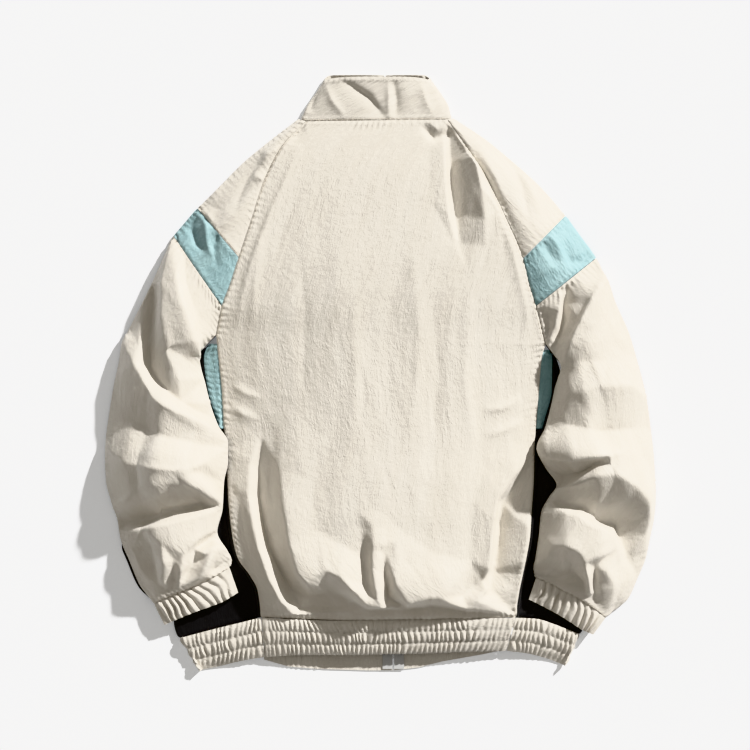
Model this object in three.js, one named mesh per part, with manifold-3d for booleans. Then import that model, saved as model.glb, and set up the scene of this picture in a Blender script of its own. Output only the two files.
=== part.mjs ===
// Zipped windbreaker jacket, laid flat on its front with its back up.
// Millimetres. +X is to the right of someone looking down at the back, +Y runs
// towards the collar, +Z is up. The origin is on the surface, under the middle.

import * as THREE from 'three';
import { mergeVertices } from 'three/addons/utils/BufferGeometryUtils.js';
import Module from 'manifold-3d';

const wasm = await Module();
wasm.setup();

// Driving dimensions
const CLOTH = 1.5;              // wall of every cloth piece
const SEAM = 0.3;               // space between two pieces at a seam
const WAIST_GAP = 0.9;          // the same where a curved edge meets a gathered band
const RIM = 2 * CLOTH + SEAM;   // top face of an upper layer that lies on a lower one
const NOSE = 5;                 // how far a folded edge is rounded over
const PANEL_TOP = 6.2;          // top of the folded side panel under a sleeve
const WAIST_TOP = 16;           // top of the gathered waistband
const COLLAR_TOP = 16;          // top of the flattened collar
const ZIP_TAPE_WIDTH = 13;
const TAPE_THICK = 1;
const ZIP_GAP = 2;              // between the two tapes
const UNDERARM = 7;             // seam row at the underarm
const BAND_FROM = 4;            // seam row at the top of the blue band
const BAND_TO = 6;              // seam row at its bottom
const PIECE_END = 0.008;        // share of a row left open at a cross seam
const CREASE_ROUND = 2.5;       // radius at the top of a fold

// A table has named columns and a row for each section or fold.
function table(columns, rows) {
  return rows.map((row) => Object.fromEntries(columns.map((name, i) => [name, row[i]])));
}

const EDGE = ['x', 'y', 'z'];
const FREE_EDGE = ['x', 'y', 'perch', 'rise'];
const FOLD = ['x1', 'y1', 'x2', 'y2', 'height', 'left', 'right', 'bow'];

// Raglan seams from the neck to the underarm, with the height of the cloth there
const RAGLAN_LEFT = table(EDGE, [
  [-97, 327, 13], [-129, 293, 17], [-153, 245, 20], [-167, 201, 22],
  [-184, 150, 23], [-196, 113, 22], [-206, 87, 20], [-214, 49, 13],
]);
const RAGLAN_RIGHT = table(EDGE, [
  [87, 329, 13], [113, 292, 17], [136, 258, 20], [161, 204, 22],
  [185, 148, 23], [193, 115, 22], [202, 87, 20], [215, 37, 13],
]);

// Outer edge of each sleeve from the neck to the cuff
const OUTER_LEFT = table(['x', 'y', 'crown'], [
  [-108, 331, 1], [-141, 306, 3], [-179, 275, 5], [-211, 243, 6],
  [-239, 215, 7], [-255, 197, 8], [-270, 179, 9], [-300, 115, 15],
  [-329, 57, 22], [-338, 40, 25], [-342, 14, 27], [-349, -19, 30],
  [-355, -56, 32], [-359, -87, 33], [-360, -108, 33], [-359, -139, 32],
  [-352, -168, 30], [-344, -191, 28], [-340, -216, 27], [-328, -246, 25],
  [-313, -280, 19], [-294, -301, 9],
]);
const OUTER_RIGHT = table(['x', 'y', 'crown'], [
  [96, 332, 1], [136, 306, 3], [168, 280, 5], [207, 245, 6],
  [242, 205, 7], [262, 178, 8], [282, 150, 9], [311, 84, 15],
  [325, 52, 22], [335, 19, 25], [344, -15, 28], [350, -46, 30],
  [354, -77, 32], [357, -103, 33], [359, -133, 33], [360, -163, 32],
  [358, -189, 30], [353, -214, 28], [347, -242, 26], [336, -269, 24],
  [322, -298, 18], [293, -319, 9],
]);

// Inner edge of each sleeve from the underarm to the cuff. Perch is the height
// of its underside there, rise what the upper layer stands above its own rim.
const INNER_LEFT = table(FREE_EDGE, [
  [-214, 49, 0, 9.7], [-227, 35, 4, 5], [-236, 22, 7.8, 2], [-233, 5, 7.8, 0],
  [-228, -13, 7.8, 0], [-222, -38, 8.5, 0], [-211, -68, 11, 0], [-198, -91, 12, 0],
  [-198, -116, 12, 0], [-203, -142, 11, 0], [-205, -177, 10, 0], [-212, -207, 9.5, 0],
  [-199, -231, 9.5, 0], [-193, -244, 9.5, 0], [-196, -253, 9.5, 0],
]);
const INNER_RIGHT = table(FREE_EDGE, [
  [215, 37, 0, 9.7], [227, 21, 4, 5], [236, 7, 7.8, 2], [228, -15, 7.8, 0],
  [222, -42, 8.5, 0], [214, -71, 9.5, 0], [203, -97, 10, 0], [214, -123, 7.8, 0],
  [229, -146, 7.8, 0], [219, -162, 7.8, 0], [209, -182, 7.8, 0], [206, -212, 7.8, 0],
  [202, -238, 7.8, 0], [199, -255, 7.8, 0], [202, -267, 7.8, 0],
]);

// Back side seams from the underarm to the waistband
const SIDE_LEFT = table(EDGE, [
  [-214, 49, 13], [-211, 19, 11], [-207, -22, 8.5], [-205, -61, 7.5],
  [-203, -100, 7.5], [-200, -139, 9], [-197, -180, 12], [-193, -211, 14],
  [-186, -240, 16], [-170, -263, 17], [-160, -282, 17], [-157, -301, 16],
  [-155, -316, 15],
]);
const SIDE_RIGHT = table(EDGE, [
  [215, 37, 13], [210, 17, 11], [207, -22, 8.5], [204, -61, 7.5],
  [201, -100, 8.5], [200, -139, 11], [197, -180, 13], [195, -211, 14],
  [190, -240, 16], [185, -263, 17], [181, -282, 17], [178, -301, 16],
  [176, -316, 15],
]);

// How far the back stands above the line between its two edges, a value a row
const BACK_CROWN = [1, 3, 5, 6, 8, 10, 12, 18, 20, 23, 25, 26, 27, 27, 26, 25, 24, 21, 16, 5];

// Outer fold of each side panel and its seam with the front, row by row
const FOLD_LINE = ['x', 'y', 'frontX'];
const FOLD_LEFT = table(FOLD_LINE, [
  [-223, 43, -213], [-242, 14, -206], [-255, -28, -200], [-261, -69, -196],
  [-263, -110, -193], [-265, -151, -190], [-267, -193, -186], [-268, -227, -182],
  [-269, -256, -178], [-270, -282, -172], [-270, -302, -166], [-270, -321, -160],
  [-263, -343, -155],
]);
const FOLD_RIGHT = table(FOLD_LINE, [
  [223, 31, 213], [233, 9, 206], [243, -30, 200], [249, -71, 197],
  [253, -111, 195], [257, -151, 193], [259, -191, 191], [262, -225, 189],
  [263, -255, 186], [265, -280, 184], [265, -300, 181], [265, -318, 178],
  [261, -337, 176],
]);

// Outer edge of the blue insert, on the back's rows from the underarm down
const INSERT_LEFT = table(['x'], [[-216.5], [-230], [-225], [-214], [-205.5]]);
const INSERT_RIGHT = table(['x'], [[217], [224], [223.5], [214], [204]]);
const INSERT_ROWS = 3.3;         // rows that the insert runs down
const INSERT_EDGE = 7;           // height of its outer edge

// Largest folds: a line, its height, how wide it falls off to the left and to
// the right of its direction, and how far its middle bows to the left
const BACK_FOLDS = table(FOLD, [
  [-125, -30, -104, -300, -11, 20, 17, -26],
  [-200, -130, -112, -312, 8, 14, 16, 0],
  [176, -118, 150, -296, -11, 16, 26, -12],
  [-94, -288, 145, -281, 7, 26, 9, -12],
  [-5, -200, 5, -299, 8, 12, 9, 0],
  [-17, -214, -14, -282, -5, 7, 8, 0],
  [100, 310, 100, 165, -9, 12, 15, -6],
  [90, 296, 152, 168, 5, 14, 9, 6],
  [-60, 260, -66, -60, 3.5, 26, 18, 8],
  [30, 200, 18, -120, -3, 22, 22, -8],
  [84, 60, 96, -240, 4, 22, 18, 6],
]);
const LEFT_FOLDS = table(FOLD, [
  [-272, 178, -226, -60, 10, 24, 15, 4],
  [-288, 140, -299, -6, -9, 16, 9, 0],
  [-300, 120, -300, -6, 4, 7, 16, 0],
  [-306, 18, -199, -87, 11, 26, 12, -12],
  [-340, -98, -212, -112, 8, 20, 16, 0],
  [-338, -190, -256, -142, 9, 18, 9, 8],
  [-258, -120, -205, -178, 11, 16, 9, 4],
  [-325, -196, -216, -182, -8, 12, 14, 0],
  [-212, 232, -226, 122, -5, 10, 12, 0],
  [-262, -200, -286, -292, 5, 11, 9, 0],
  [-236, -190, -246, -268, 5, 9, 8, 0],
  [-212, -222, -232, -262, 5, 7, 7, 0],
]);
const RIGHT_FOLDS = table(FOLD, [
  [284, 138, 240, 14, -11, 15, 12, -4],
  [294, 106, 204, -92, 9, 22, 9, 6],
  [250, 95, 222, 44, -4, 7, 8, 0],
  [222, -88, 330, -62, 7, 20, 16, 0],
  [208, -108, 286, -116, -8, 8, 12, 0],
  [236, -148, 288, -116, 10, 10, 11, 6],
  [222, -160, 345, -196, -9, 14, 16, -8],
  [224, -172, 322, -206, 8, 12, 18, 0],
  [322, -200, 318, -290, -6, 14, 12, 0],
  [250, -214, 238, -284, 5, 9, 8, 0],
  [282, -226, 272, -300, 5, 9, 8, 0],
  [222, -212, 214, -262, 5, 8, 7, 0],
]);

// Cuffs: top and bottom edge from the outer end to the inner one
const CUFF = ['topX', 'topY', 'bottomX', 'bottomY'];
const CUFF_LEFT = table(CUFF, [
  [-294, -301.6, -281, -328], [-279, -293, -262, -320], [-262, -285.5, -244, -312.5],
  [-240, -277, -225, -305.5], [-218, -266.5, -205, -298], [-196, -253.6, -185, -286],
]);
const CUFF_RIGHT = table(CUFF, [
  [293, -319.6, 277, -341], [279, -308, 263, -335], [262, -295.5, 246, -324],
  [242, -284.5, 228, -313], [221, -274, 210, -303.5], [202, -267.6, 193, -295],
]);
const CUFF_PLEATS = 10;
const CUFF_TOP = 13;

// Waistband of the back: top and bottom edge across it, with its gathers
const WAIST = ['topX', 'topY', 'bottomX', 'bottomY'];
const WAIST_BACK = table(WAIST, [
  [-154.6, -318, -150, -371], [-110, -320, -97, -368], [-58, -321.5, -44, -368],
  [0, -321, 0, -367], [58, -320, 55, -366], [115, -319, 110, -364],
  [175.6, -318.4, 164, -363],
]);
const WAIST_LEFT = table(WAIST, [
  [-155.2, -318.2, -150.6, -371.2], [-194, -328, -183, -377], [-227, -336.5, -208, -383],
  [-262, -346, -237, -389],
]);
const WAIST_RIGHT = table(WAIST, [
  [176.2, -318.6, 164.6, -363.2], [202, -320, 192, -367], [228, -328, 216, -373],
  [260, -341, 242, -383],
]);
const GATHER_PITCH = 7;
const GATHER_DEPTH = 1.3;

// Waistband of the front, under the back one, from the left side to the right
const FRONT_HEM = table(['x', 'top', 'bottom'], [
  [-152, -318.5, -375], [-120, -323.1, -384], [-83, -328.4, -387], [-16, -338, -389],
  [17, -338, -389], [51, -333.7, -385], [83, -329.7, -377], [129, -324, -369],
  [163, -319.7, -362],
]);
const TAB_ENDS = [-83, 83];      // where the plain tabs beside the zip begin

// Line of the front closure, from the hem to the top of the collar
const CLOSURE = { hemX: 17, hemY: -389, topX: 6, topY: 389 };
const NECK_DROP = 58;            // front neck seam below the back one
const COLLAR_SIDES = table(['left', 'right', 'y'], [
  [-104, 93, 331], [-97, 89, 348], [-84, 78, 372], [-72, 64, 388],
]);
const COLLAR_EDGE = { back: 385, front: 389 };
const COLLAR_CREASE = 2;
const NECK_STEPS = 5;            // stations along each half of the front neck seam
const SLIDER_ROOM = 5.6;         // how far the collar is lifted off the slider
const SLIDER = {
  x: 6.6, y: 345, width: 9, length: 13, lowest: 3.4, plate: 1.6, upper: 9.3,
};
const BAIL = { width: 1.4, reach: 3.2, bar: 0.8, lowest: 0.2, post: 1.2 };
const PULL = {
  width: 7, length: 29, thick: 1.2, axisZ: 2.2, eye: 0.8, hole: 4.4, holeWidth: 2.6,
};

// Helpers
const lerp = (a, b, t) => a + (b - a) * t;
const clamp = (value, low, high) => Math.min(Math.max(value, low), high);

function smoothstep(low, high, value) {
  const t = clamp((value - low) / (high - low), 0, 1);
  return t * t * (3 - 2 * t);
}

// A smooth curve through evenly numbered values that never swings past them
function smooth(values, at) {
  const last = values.length - 1;
  const t = clamp(at, 0, last);
  const i = Math.min(Math.floor(t), last - 1);
  const step = (k) => values[k + 1] - values[k];
  const slope = (k) => {
    if (k === 0) return step(0);
    if (k === last) return step(last - 1);
    const before = step(k - 1);
    const after = step(k);
    return before * after <= 0 ? 0 : (2 * before * after) / (before + after);
  };
  const f = t - i;
  const g = 1 - f;
  return values[i] * (1 + 2 * f) * g * g + values[i + 1] * (3 - 2 * f) * f * f
    + slope(i) * f * g * g - slope(i + 1) * f * f * g;
}

const column = (rows, name) => rows.map((row) => row[name]);

function along(rows, name, at) {
  return smooth(column(rows, name), at);
}

// Value of a column where another column, which falls down the table, is given
function lookUp(rows, key, name, value) {
  const last = rows.length - 1;
  if (value >= rows[0][key]) return rows[0][name];
  if (value <= rows[last][key]) return rows[last][name];
  const i = rows.findIndex((row, k) => k < last && value >= rows[k + 1][key]);
  const t = (value - rows[i][key]) / (rows[i + 1][key] - rows[i][key]);
  return lerp(rows[i][name], rows[i + 1][name], t);
}

// Height that the folds add at a place
function foldHeight(folds, x, y) {
  let sum = 0;
  for (const fold of folds) {
    const dx = fold.x2 - fold.x1;
    const dy = fold.y2 - fold.y1;
    const length = Math.hypot(dx, dy);
    const t = ((x - fold.x1) * dx + (y - fold.y1) * dy) / (length * length);
    if (t <= 0 || t >= 1) continue;
    const leftward = ((y - fold.y1) * dx - (x - fold.x1) * dy) / length;
    const off = leftward - fold.bow * 4 * t * (1 - t);
    const width = off > 0 ? fold.left : fold.right;
    const round = Math.hypot(off, CREASE_ROUND) - CREASE_ROUND;
    sum += fold.height * Math.sin(Math.PI * t) ** 0.6 * Math.exp(-((round / width) ** 1.5));
  }
  return sum;
}

const dome = (u) => Math.sin(Math.PI * clamp(u, 0, 1)) ** 0.75;
const shoulder = (u) => Math.sin((Math.PI / 2) * clamp(u, 0, 1));
const atEdges = (u) => smoothstep(0, 0.16, u) * smoothstep(0, 0.16, 1 - u);
const evenly = (count) => Array.from({ length: count + 1 }, (_, i) => i / count);

// Stations across a piece, closer together near its two edges
function closerAtEnds(count) {
  return evenly(count).map((t) => {
    const pull = 1 - 0.25 * Math.sin(Math.PI * t);
    return 0.5 - 0.5 * Math.cos(Math.PI * t) * pull;
  });
}

function stations(from, to, perRow) {
  const count = Math.max(1, Math.round((to - from) * perRow));
  return evenly(count).map((t) => lerp(from, to, t));
}

// Closed wall of cloth on a grid of outer points. inward is -1 where the inside
// lies against the grid's own normal and 1 where it lies along it. The rims of
// a sheet stay upright, so that neighbours meet face to face.
function wall(grid, inward, { closed = false, sheet = true, inner = null } = {}) {
  const rows = grid.length;
  const cols = grid[0].length;
  const at = (i, j) => grid[i][closed ? (j + cols) % cols : clamp(j, 0, cols - 1)];
  const row = (i) => clamp(i, 0, rows - 1);
  const inside = inner ?? grid.map((line, i) => line.map((point, j) => {
    const across = new THREE.Vector3().subVectors(at(i, j + 1), at(i, j - 1));
    const down = new THREE.Vector3().subVectors(at(row(i + 1), j), at(row(i - 1), j));
    const normal = down.cross(across).normalize();
    const onSide = !closed && (j === 0 || j === cols - 1);
    const onEnd = i === 0 || i === rows - 1;
    if (onSide || (sheet && onEnd)) normal.set(0, 0, Math.sign(normal.z) || 1);
    else if (onEnd) normal.setY(0).normalize();
    return point.clone().addScaledVector(normal, inward * CLOTH);
  }));
  const points = [...grid.flat(), ...inside.flat()];
  const index = [];
  const count = rows * cols;
  const quad = (a, b, c, d) => index.push(a, b, c, a, c, d);
  const lastCol = closed ? cols : cols - 1;
  for (let i = 0; i < rows - 1; i += 1) {
    for (let j = 0; j < lastCol; j += 1) {
      const next = (j + 1) % cols;
      const [a, b, c, d] = [i * cols + j, i * cols + next, (i + 1) * cols + next, (i + 1) * cols + j];
      quad(a, b, c, d);
      quad(count + a, count + d, count + c, count + b);
    }
  }
  for (let j = 0; j < lastCol; j += 1) {
    const next = (j + 1) % cols;
    const foot = (rows - 1) * cols;
    quad(j, count + j, count + next, next);
    quad(foot + j, foot + next, count + foot + next, count + foot + j);
  }
  if (!closed) {
    for (let i = 0; i < rows - 1; i += 1) {
      const [a, d] = [i * cols, (i + 1) * cols];
      const [b, c] = [a + cols - 1, d + cols - 1];
      quad(a, d, count + d, count + a);
      quad(b, count + b, count + c, c);
    }
  }
  return solid(points, index);
}

// Geometry with its faces pointing out
function solid(points, index) {
  let volume = 0;
  for (let k = 0; k < index.length; k += 3) {
    const [a, b, c] = [points[index[k]], points[index[k + 1]], points[index[k + 2]]];
    volume += a.dot(new THREE.Vector3().crossVectors(b, c));
  }
  if (volume < 0) index.reverse();
  const geometry = new THREE.BufferGeometry();
  const positions = points.flatMap((point) => point.toArray());
  geometry.setAttribute('position', new THREE.Float32BufferAttribute(positions, 3));
  geometry.setIndex(index);
  geometry.computeVertexNormals();
  return geometry;
}

const plain = (color, roughness) => new THREE.MeshStandardMaterial({ color, roughness, metalness: 0 });
const CREAM = plain(0xe9e0d2, 0.6);
const BLUE = plain(0x8fc3cc, 0.55);
const BLACK = plain(0x1b1b1e, 0.55);
const GREY_TAPE = plain(0xc9cbcc, 0.7);
const METAL = new THREE.MeshStandardMaterial({ color: 0xb9bbbd, roughness: 0.35, metalness: 1 });

const jacket = new THREE.Group();

function add(name, geometry, material) {
  const mesh = new THREE.Mesh(geometry, material);
  mesh.name = name;
  jacket.add(mesh);
}

// The two sides share every function; hand is -1 on the left and 1 on the right.
const SIDES = [
  {
    label: 'left', hand: -1, raglan: RAGLAN_LEFT, outer: OUTER_LEFT, inner: INNER_LEFT,
    side: SIDE_LEFT, fold: FOLD_LEFT, insert: INSERT_LEFT, folds: LEFT_FOLDS,
    cuff: CUFF_LEFT, waist: WAIST_LEFT,
  },
  {
    label: 'right', hand: 1, raglan: RAGLAN_RIGHT, outer: OUTER_RIGHT, inner: INNER_RIGHT,
    side: SIDE_RIGHT, fold: FOLD_RIGHT, insert: INSERT_RIGHT, folds: RIGHT_FOLDS,
    cuff: CUFF_RIGHT, waist: WAIST_RIGHT,
  },
];
const [LEFT, RIGHT] = SIDES;

// Rows that the pieces beside each other share: close beside the insert and by
// the waistband, every other one between them for the panels and the fronts
const BACK_LAST = UNDERARM + SIDE_LEFT.length - 1;
const WAIST_ROWS = 5.2;
const INSERT_STATIONS = stations(UNDERARM + 0.4, UNDERARM + INSERT_ROWS, 2);
const BELOW_INSERT = stations(UNDERARM + INSERT_ROWS + 0.06, BACK_LAST - PIECE_END, 1.7);
const SIDE_ROWS = [...INSERT_STATIONS, ...BELOW_INSERT];
const PANEL_ROWS = SIDE_ROWS.filter((v, k) => {
  const besideInsert = k <= INSERT_STATIONS.length;
  return besideInsert || v > BACK_LAST - WAIST_ROWS || k % 2 === 0;
});
const SLEEVE_LAST = OUTER_LEFT.length - 1;

// Edge of the back: the raglan seam, then the side seam
function backEdge(side, v) {
  const [rows, at] = v <= UNDERARM ? [side.raglan, v] : [side.side, v - UNDERARM];
  return { x: along(rows, 'x', at), y: along(rows, 'y', at), z: along(rows, 'z', at) };
}

function sleeveOuter(side, v) {
  const rows = side.outer;
  return { x: along(rows, 'x', v), y: along(rows, 'y', v), crown: along(rows, 'crown', v) };
}

function sleeveInner(side, v) {
  if (v <= UNDERARM) return { ...backEdge(side, v), perch: 0 };
  const at = v - UNDERARM;
  const perch = along(side.inner, 'perch', at);
  const z = perch + RIM + along(side.inner, 'rise', at);
  return { x: along(side.inner, 'x', at), y: along(side.inner, 'y', at), z, perch };
}

// A sleeve's underside is on the floor outside the body and on it inside
function sleeveUnderside(side, v, x, y) {
  if (v <= UNDERARM) return 0;
  const foldX = lookUp(side.fold, 'y', 'x', y);
  const inside = side.hand * (foldX - x);
  return sleeveInner(side, v).perch * smoothstep(-44, -18, inside);
}

function sleevePlan(side, v, u) {
  const a = sleeveOuter(side, v);
  const b = sleeveInner(side, v);
  const width = Math.hypot(b.x - a.x, b.y - a.y);
  const seamGap = v <= UNDERARM + 1 ? SEAM / 2 / width : 0;
  const t = Math.min(u, 1 - seamGap);
  const atCuff = Math.max(0, v - SLEEVE_LAST + 1);
  const seamX = along(side.cuff, 'topX', u * (side.cuff.length - 1));
  const seamY = along(side.cuff, 'topY', u * (side.cuff.length - 1)) + WAIST_GAP;
  return { a, b, x: lerp(lerp(a.x, b.x, t), seamX, atCuff), y: lerp(lerp(a.y, b.y, t), seamY, atCuff) };
}

function sleeveTop(side, v, u) {
  const { a, b, x, y } = sleevePlan(side, v, u);
  const rest = sleeveUnderside(side, v, x, y) + RIM;
  const innerRest = sleeveUnderside(side, v, b.x, b.y) + RIM;
  const lift = (b.z - innerRest) * shoulder(u) + a.crown * dome(u);
  const room = clamp(a.crown / 12, 0, 1);
  const folded = foldHeight(side.folds, x, y) * atEdges(u) * room;
  const z = rest + Math.max(lift + folded, 0.25 * lift);
  return new THREE.Vector3(x, y, z);
}

function sleeveBottom(side, v, u) {
  const { x, y } = sleevePlan(side, v, u);
  return new THREE.Vector3(x, y, sleeveUnderside(side, v, x, y));
}

function patch(rows, across, point) {
  return rows.map((v) => across.map((u) => point(v, u)));
}

// Sleeves: upper, band and lower, above and below
const SLEEVE_PARTS = [
  { name: 'upper', from: 0, to: BAND_FROM, perRow: 2, top: CREAM, bottom: CREAM },
  { name: 'band', from: BAND_FROM, to: BAND_TO, perRow: 2, top: BLUE, bottom: BLUE },
  { name: 'lower', from: BAND_TO, to: SLEEVE_LAST, perRow: 1.8, top: CREAM, bottom: BLACK },
];

function addSleeve(side) {
  for (const part of SLEEVE_PARTS) {
    const first = part.from + (part.from > 0 ? PIECE_END : 0);
    const last = part.to - PIECE_END;
    const rows = stations(part.from, part.to, part.perRow);
    rows[0] = first;
    rows[rows.length - 1] = last;
    const top = patch(rows, closerAtEnds(part.name === 'lower' ? 10 : 8), (v, u) => sleeveTop(side, v, u));
    add(`sleeve_back_${part.name}_${side.label}`, wall(top, side.hand), part.top);
    const across = part.to > UNDERARM ? [0, 0.35, 0.58, 0.78, 1] : [0, 1];
    const bottom = patch(rows, across, (v, u) => sleeveBottom(side, v, u));
    add(`sleeve_front_${part.name}_${side.label}`, wall(bottom, -side.hand), part.bottom);
  }
}

// Top edge of the back's waistband at a place across it
function waistBackTopY(x) {
  const last = WAIST_BACK.length - 1;
  const share = (x - WAIST_BACK[0].topX) / (WAIST_BACK[last].topX - WAIST_BACK[0].topX);
  return along(WAIST_BACK, 'topY', share * last);
}

// Back panel
function backPoint(v, u) {
  const a = backEdge(LEFT, v);
  const b = backEdge(RIGHT, v);
  const gap = SEAM / 2 / (b.x - a.x);
  const t = clamp(u, gap, 1 - gap);
  const x = lerp(a.x, b.x, t);
  const y = lerp(a.y, b.y, t);
  const height = smooth(BACK_CROWN, v) * dome(u);
  const folded = foldHeight(BACK_FOLDS, x, y) * atEdges(u) * clamp(smooth(BACK_CROWN, v) / 8, 0, 1);
  const base = lerp(a.z, b.z, t);
  const seamY = waistBackTopY(x) + SEAM;
  const hemY = lerp(y, seamY, Math.max(0, v - BACK_LAST + 1));
  return new THREE.Vector3(x, hemY, base + Math.max(height + folded, 0.2 * height));
}

function addBack() {
  const rows = [...stations(0, UNDERARM, 2), ...SIDE_ROWS];
  add('back_panel', wall(patch(rows, closerAtEnds(20), backPoint), -1), CREAM);
}

// Blue insert at the top of each side, beside the back
function insertPoint(side, v, u) {
  const seam = backEdge(side, v);
  const outerX = along(side.insert, 'x', v - UNDERARM);
  const x = lerp(outerX, seam.x + side.hand * SEAM, u);
  return new THREE.Vector3(x, seam.y, lerp(INSERT_EDGE, seam.z, u));
}

function addInsert(side) {
  const grid = patch(INSERT_STATIONS, evenly(3), (v, u) => insertPoint(side, v, u));
  add(`side_insert_${side.label}`, wall(grid, side.hand), BLUE);
}

// Side panel, folded in two: from the back seam round its outer fold to the front
function sidePanelSection(side, v) {
  const at = v - UNDERARM;
  const seam = backEdge(side, v);
  const beside = at < INSERT_ROWS + 0.02;
  const innerX = beside ? along(side.insert, 'x', at) + side.hand * SEAM : seam.x + side.hand * 2 * SEAM;
  const innerZ = beside ? INSERT_EDGE : seam.z;
  const fold = { x: along(side.fold, 'x', at), y: along(side.fold, 'y', at) };
  const frontX = along(side.fold, 'frontX', at) + side.hand * 2 * SEAM;
  const top = Math.min(lerp(RIM + 0.2, PANEL_TOP, smoothstep(0.9, 2, at)), innerZ);
  const width = Math.abs(fold.x - innerX);
  const under = Math.abs(fold.x - frontX);
  const nose = Math.min(NOSE, width * 0.4);
  const place = (inFromFold, z) => {
    const share = inFromFold / Math.max(under, width);
    return new THREE.Vector3(fold.x - side.hand * inFromFold, lerp(fold.y, seam.y, share), z);
  };
  const drop = Math.min(7, width * 0.5);
  const section = [
    new THREE.Vector3(innerX, seam.y, innerZ),
    place(width - drop, top),
    place(lerp(width - drop, nose, 1 / 3), top),
    place(lerp(width - drop, nose, 2 / 3), top),
    place(nose, top),
    place(nose * 0.3, top * 0.85),
    place(0, top * 0.5),
    place(nose * 0.3, top * 0.15),
    place(nose, 0),
    place(lerp(nose, under, 1 / 3), 0),
    place(lerp(nose, under, 2 / 3), 0),
    new THREE.Vector3(frontX, seam.y, 0),
  ];
  const atWaist = Math.max(0, v - BACK_LAST + 1);
  for (const point of section) {
    point.y = lerp(point.y, waistTopY(side, point.x) + WAIST_GAP, atWaist);
  }
  return section;
}

// Top edge of the waistband's side at a place across it
function waistTopY(side, x) {
  const rows = side.hand < 0 ? side.waist : [...side.waist].reverse();
  return lookUp(rows, 'topX', 'topY', x);
}

function addSidePanel(side) {
  const grid = PANEL_ROWS.map((v) => sidePanelSection(side, v));
  add(`side_panel_${side.label}`, wall(grid, -side.hand, { sheet: false }), BLACK);
}

// Front panels, flat on the floor under the back
function closureX(y) {
  const share = (y - CLOSURE.hemY) / (CLOSURE.topY - CLOSURE.hemY);
  return lerp(CLOSURE.hemX, CLOSURE.topX, share);
}

function liftOverSlider(x, y) {
  const acrossIt = 1 - smoothstep(17, 44, Math.abs(x - SLIDER.x));
  const alongIt = smoothstep(271, 294, y) * (1 - smoothstep(366, 389, y));
  return SLIDER_ROOM * acrossIt * alongIt;
}

// Front neck seam, which hangs in a curve between the ends of the back one
function neckSeamY(x) {
  const end = (x < SLIDER.x ? RAGLAN_LEFT : RAGLAN_RIGHT)[0].x;
  const t = clamp((x - SLIDER.x) / (end - SLIDER.x), 0, 1);
  return backNeckY(x) - NECK_DROP * (1 - t * t);
}

// Back neck seam with the tops of the sleeves beside it
function backNeckY(x) {
  const [a, b, c, d] = [OUTER_LEFT[0], RAGLAN_LEFT[0], RAGLAN_RIGHT[0], OUTER_RIGHT[0]];
  if (x < b.x) return lerp(a.y, b.y, (x - a.x) / (b.x - a.x));
  if (x > c.x) return lerp(c.y, d.y, (x - c.x) / (d.x - c.x));
  return lerp(b.y, c.y, (x - b.x) / (c.x - b.x));
}

function frontPoint(side, v, u) {
  const last = FOLD_LEFT.length - 1 + UNDERARM;
  const edge = backEdge(side, Math.min(v, last));
  if (v > UNDERARM) edge.x = along(side.fold, 'frontX', v - UNDERARM);
  const neck = backEdge(side, 0);
  const innerX = closureX(edge.y) + side.hand * ZIP_GAP / 2;
  const start = edge.x - side.hand * SEAM / 2;
  const x = lerp(start, innerX, u);
  const neckX = lerp(neck.x, closureX(neck.y), u);
  const drop = (neck.y - neckSeamY(neckX)) * Math.max(0, 1 - v / 4);
  const hem = Math.max(0, v - BACK_LAST + 1);
  const hemDrop = (edge.y - lookUpHem(x, 'top') - WAIST_GAP - SEAM) * hem;
  const y = edge.y - drop - hemDrop;
  return new THREE.Vector3(x, y, liftOverSlider(x, y));
}

function lookUpHem(x, name) {
  const rows = [...FRONT_HEM].reverse();
  return lookUp(rows, 'x', name, x);
}

function addFront(side) {
  const rows = [...stations(0, UNDERARM, 1), ...PANEL_ROWS];
  const grid = patch(rows, evenly(NECK_STEPS), (v, u) => frontPoint(side, v, u));
  add(`front_panel_${side.label}`, wall(grid, -side.hand), CREAM);
}

// Cuffs: gathered rings of elastic, flat below
function cuffGrid(side) {
  const last = side.cuff.length - 1;
  const across = CUFF_PLEATS * 2 + 2;
  const rows = evenly(4);
  return rows.map((v) => {
    const line = [];
    const place = (t, z) => {
      const at = t * last;
      const x = lerp(along(side.cuff, 'topX', at), along(side.cuff, 'bottomX', at), v);
      const y = lerp(along(side.cuff, 'topY', at), along(side.cuff, 'bottomY', at), v);
      const base = sleeveUnderside(side, SLEEVE_LAST, x, y);
      return new THREE.Vector3(x, y, base + z);
    };
    for (let k = 0; k <= across; k += 1) {
      const t = k / across;
      const edge = smoothstep(0, 0.1, t) * smoothstep(0, 0.1, 1 - t);
      const pleat = (k % 2 ? 1 : -1) * GATHER_DEPTH * edge;
      line.push(place(t, lerp(CUFF_TOP * 0.45, CUFF_TOP, dome(t)) + pleat));
    }
    for (const t of [0.985, 0.8, 0.6, 0.4, 0.2, 0.015]) line.push(place(t, 0));
    return line;
  });
}

function addCuff(side) {
  add(`cuff_${side.label}`, wall(cuffGrid(side), side.hand, { closed: true, sheet: false }), CREAM);
}

// Waistband: shirred above, with a smooth inside
function bandPlace(rows, t, v) {
  const at = t * (rows.length - 1);
  const x = lerp(along(rows, 'topX', at), along(rows, 'bottomX', at), v);
  const y = lerp(along(rows, 'topY', at), along(rows, 'bottomY', at), v);
  return { x, y };
}

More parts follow.
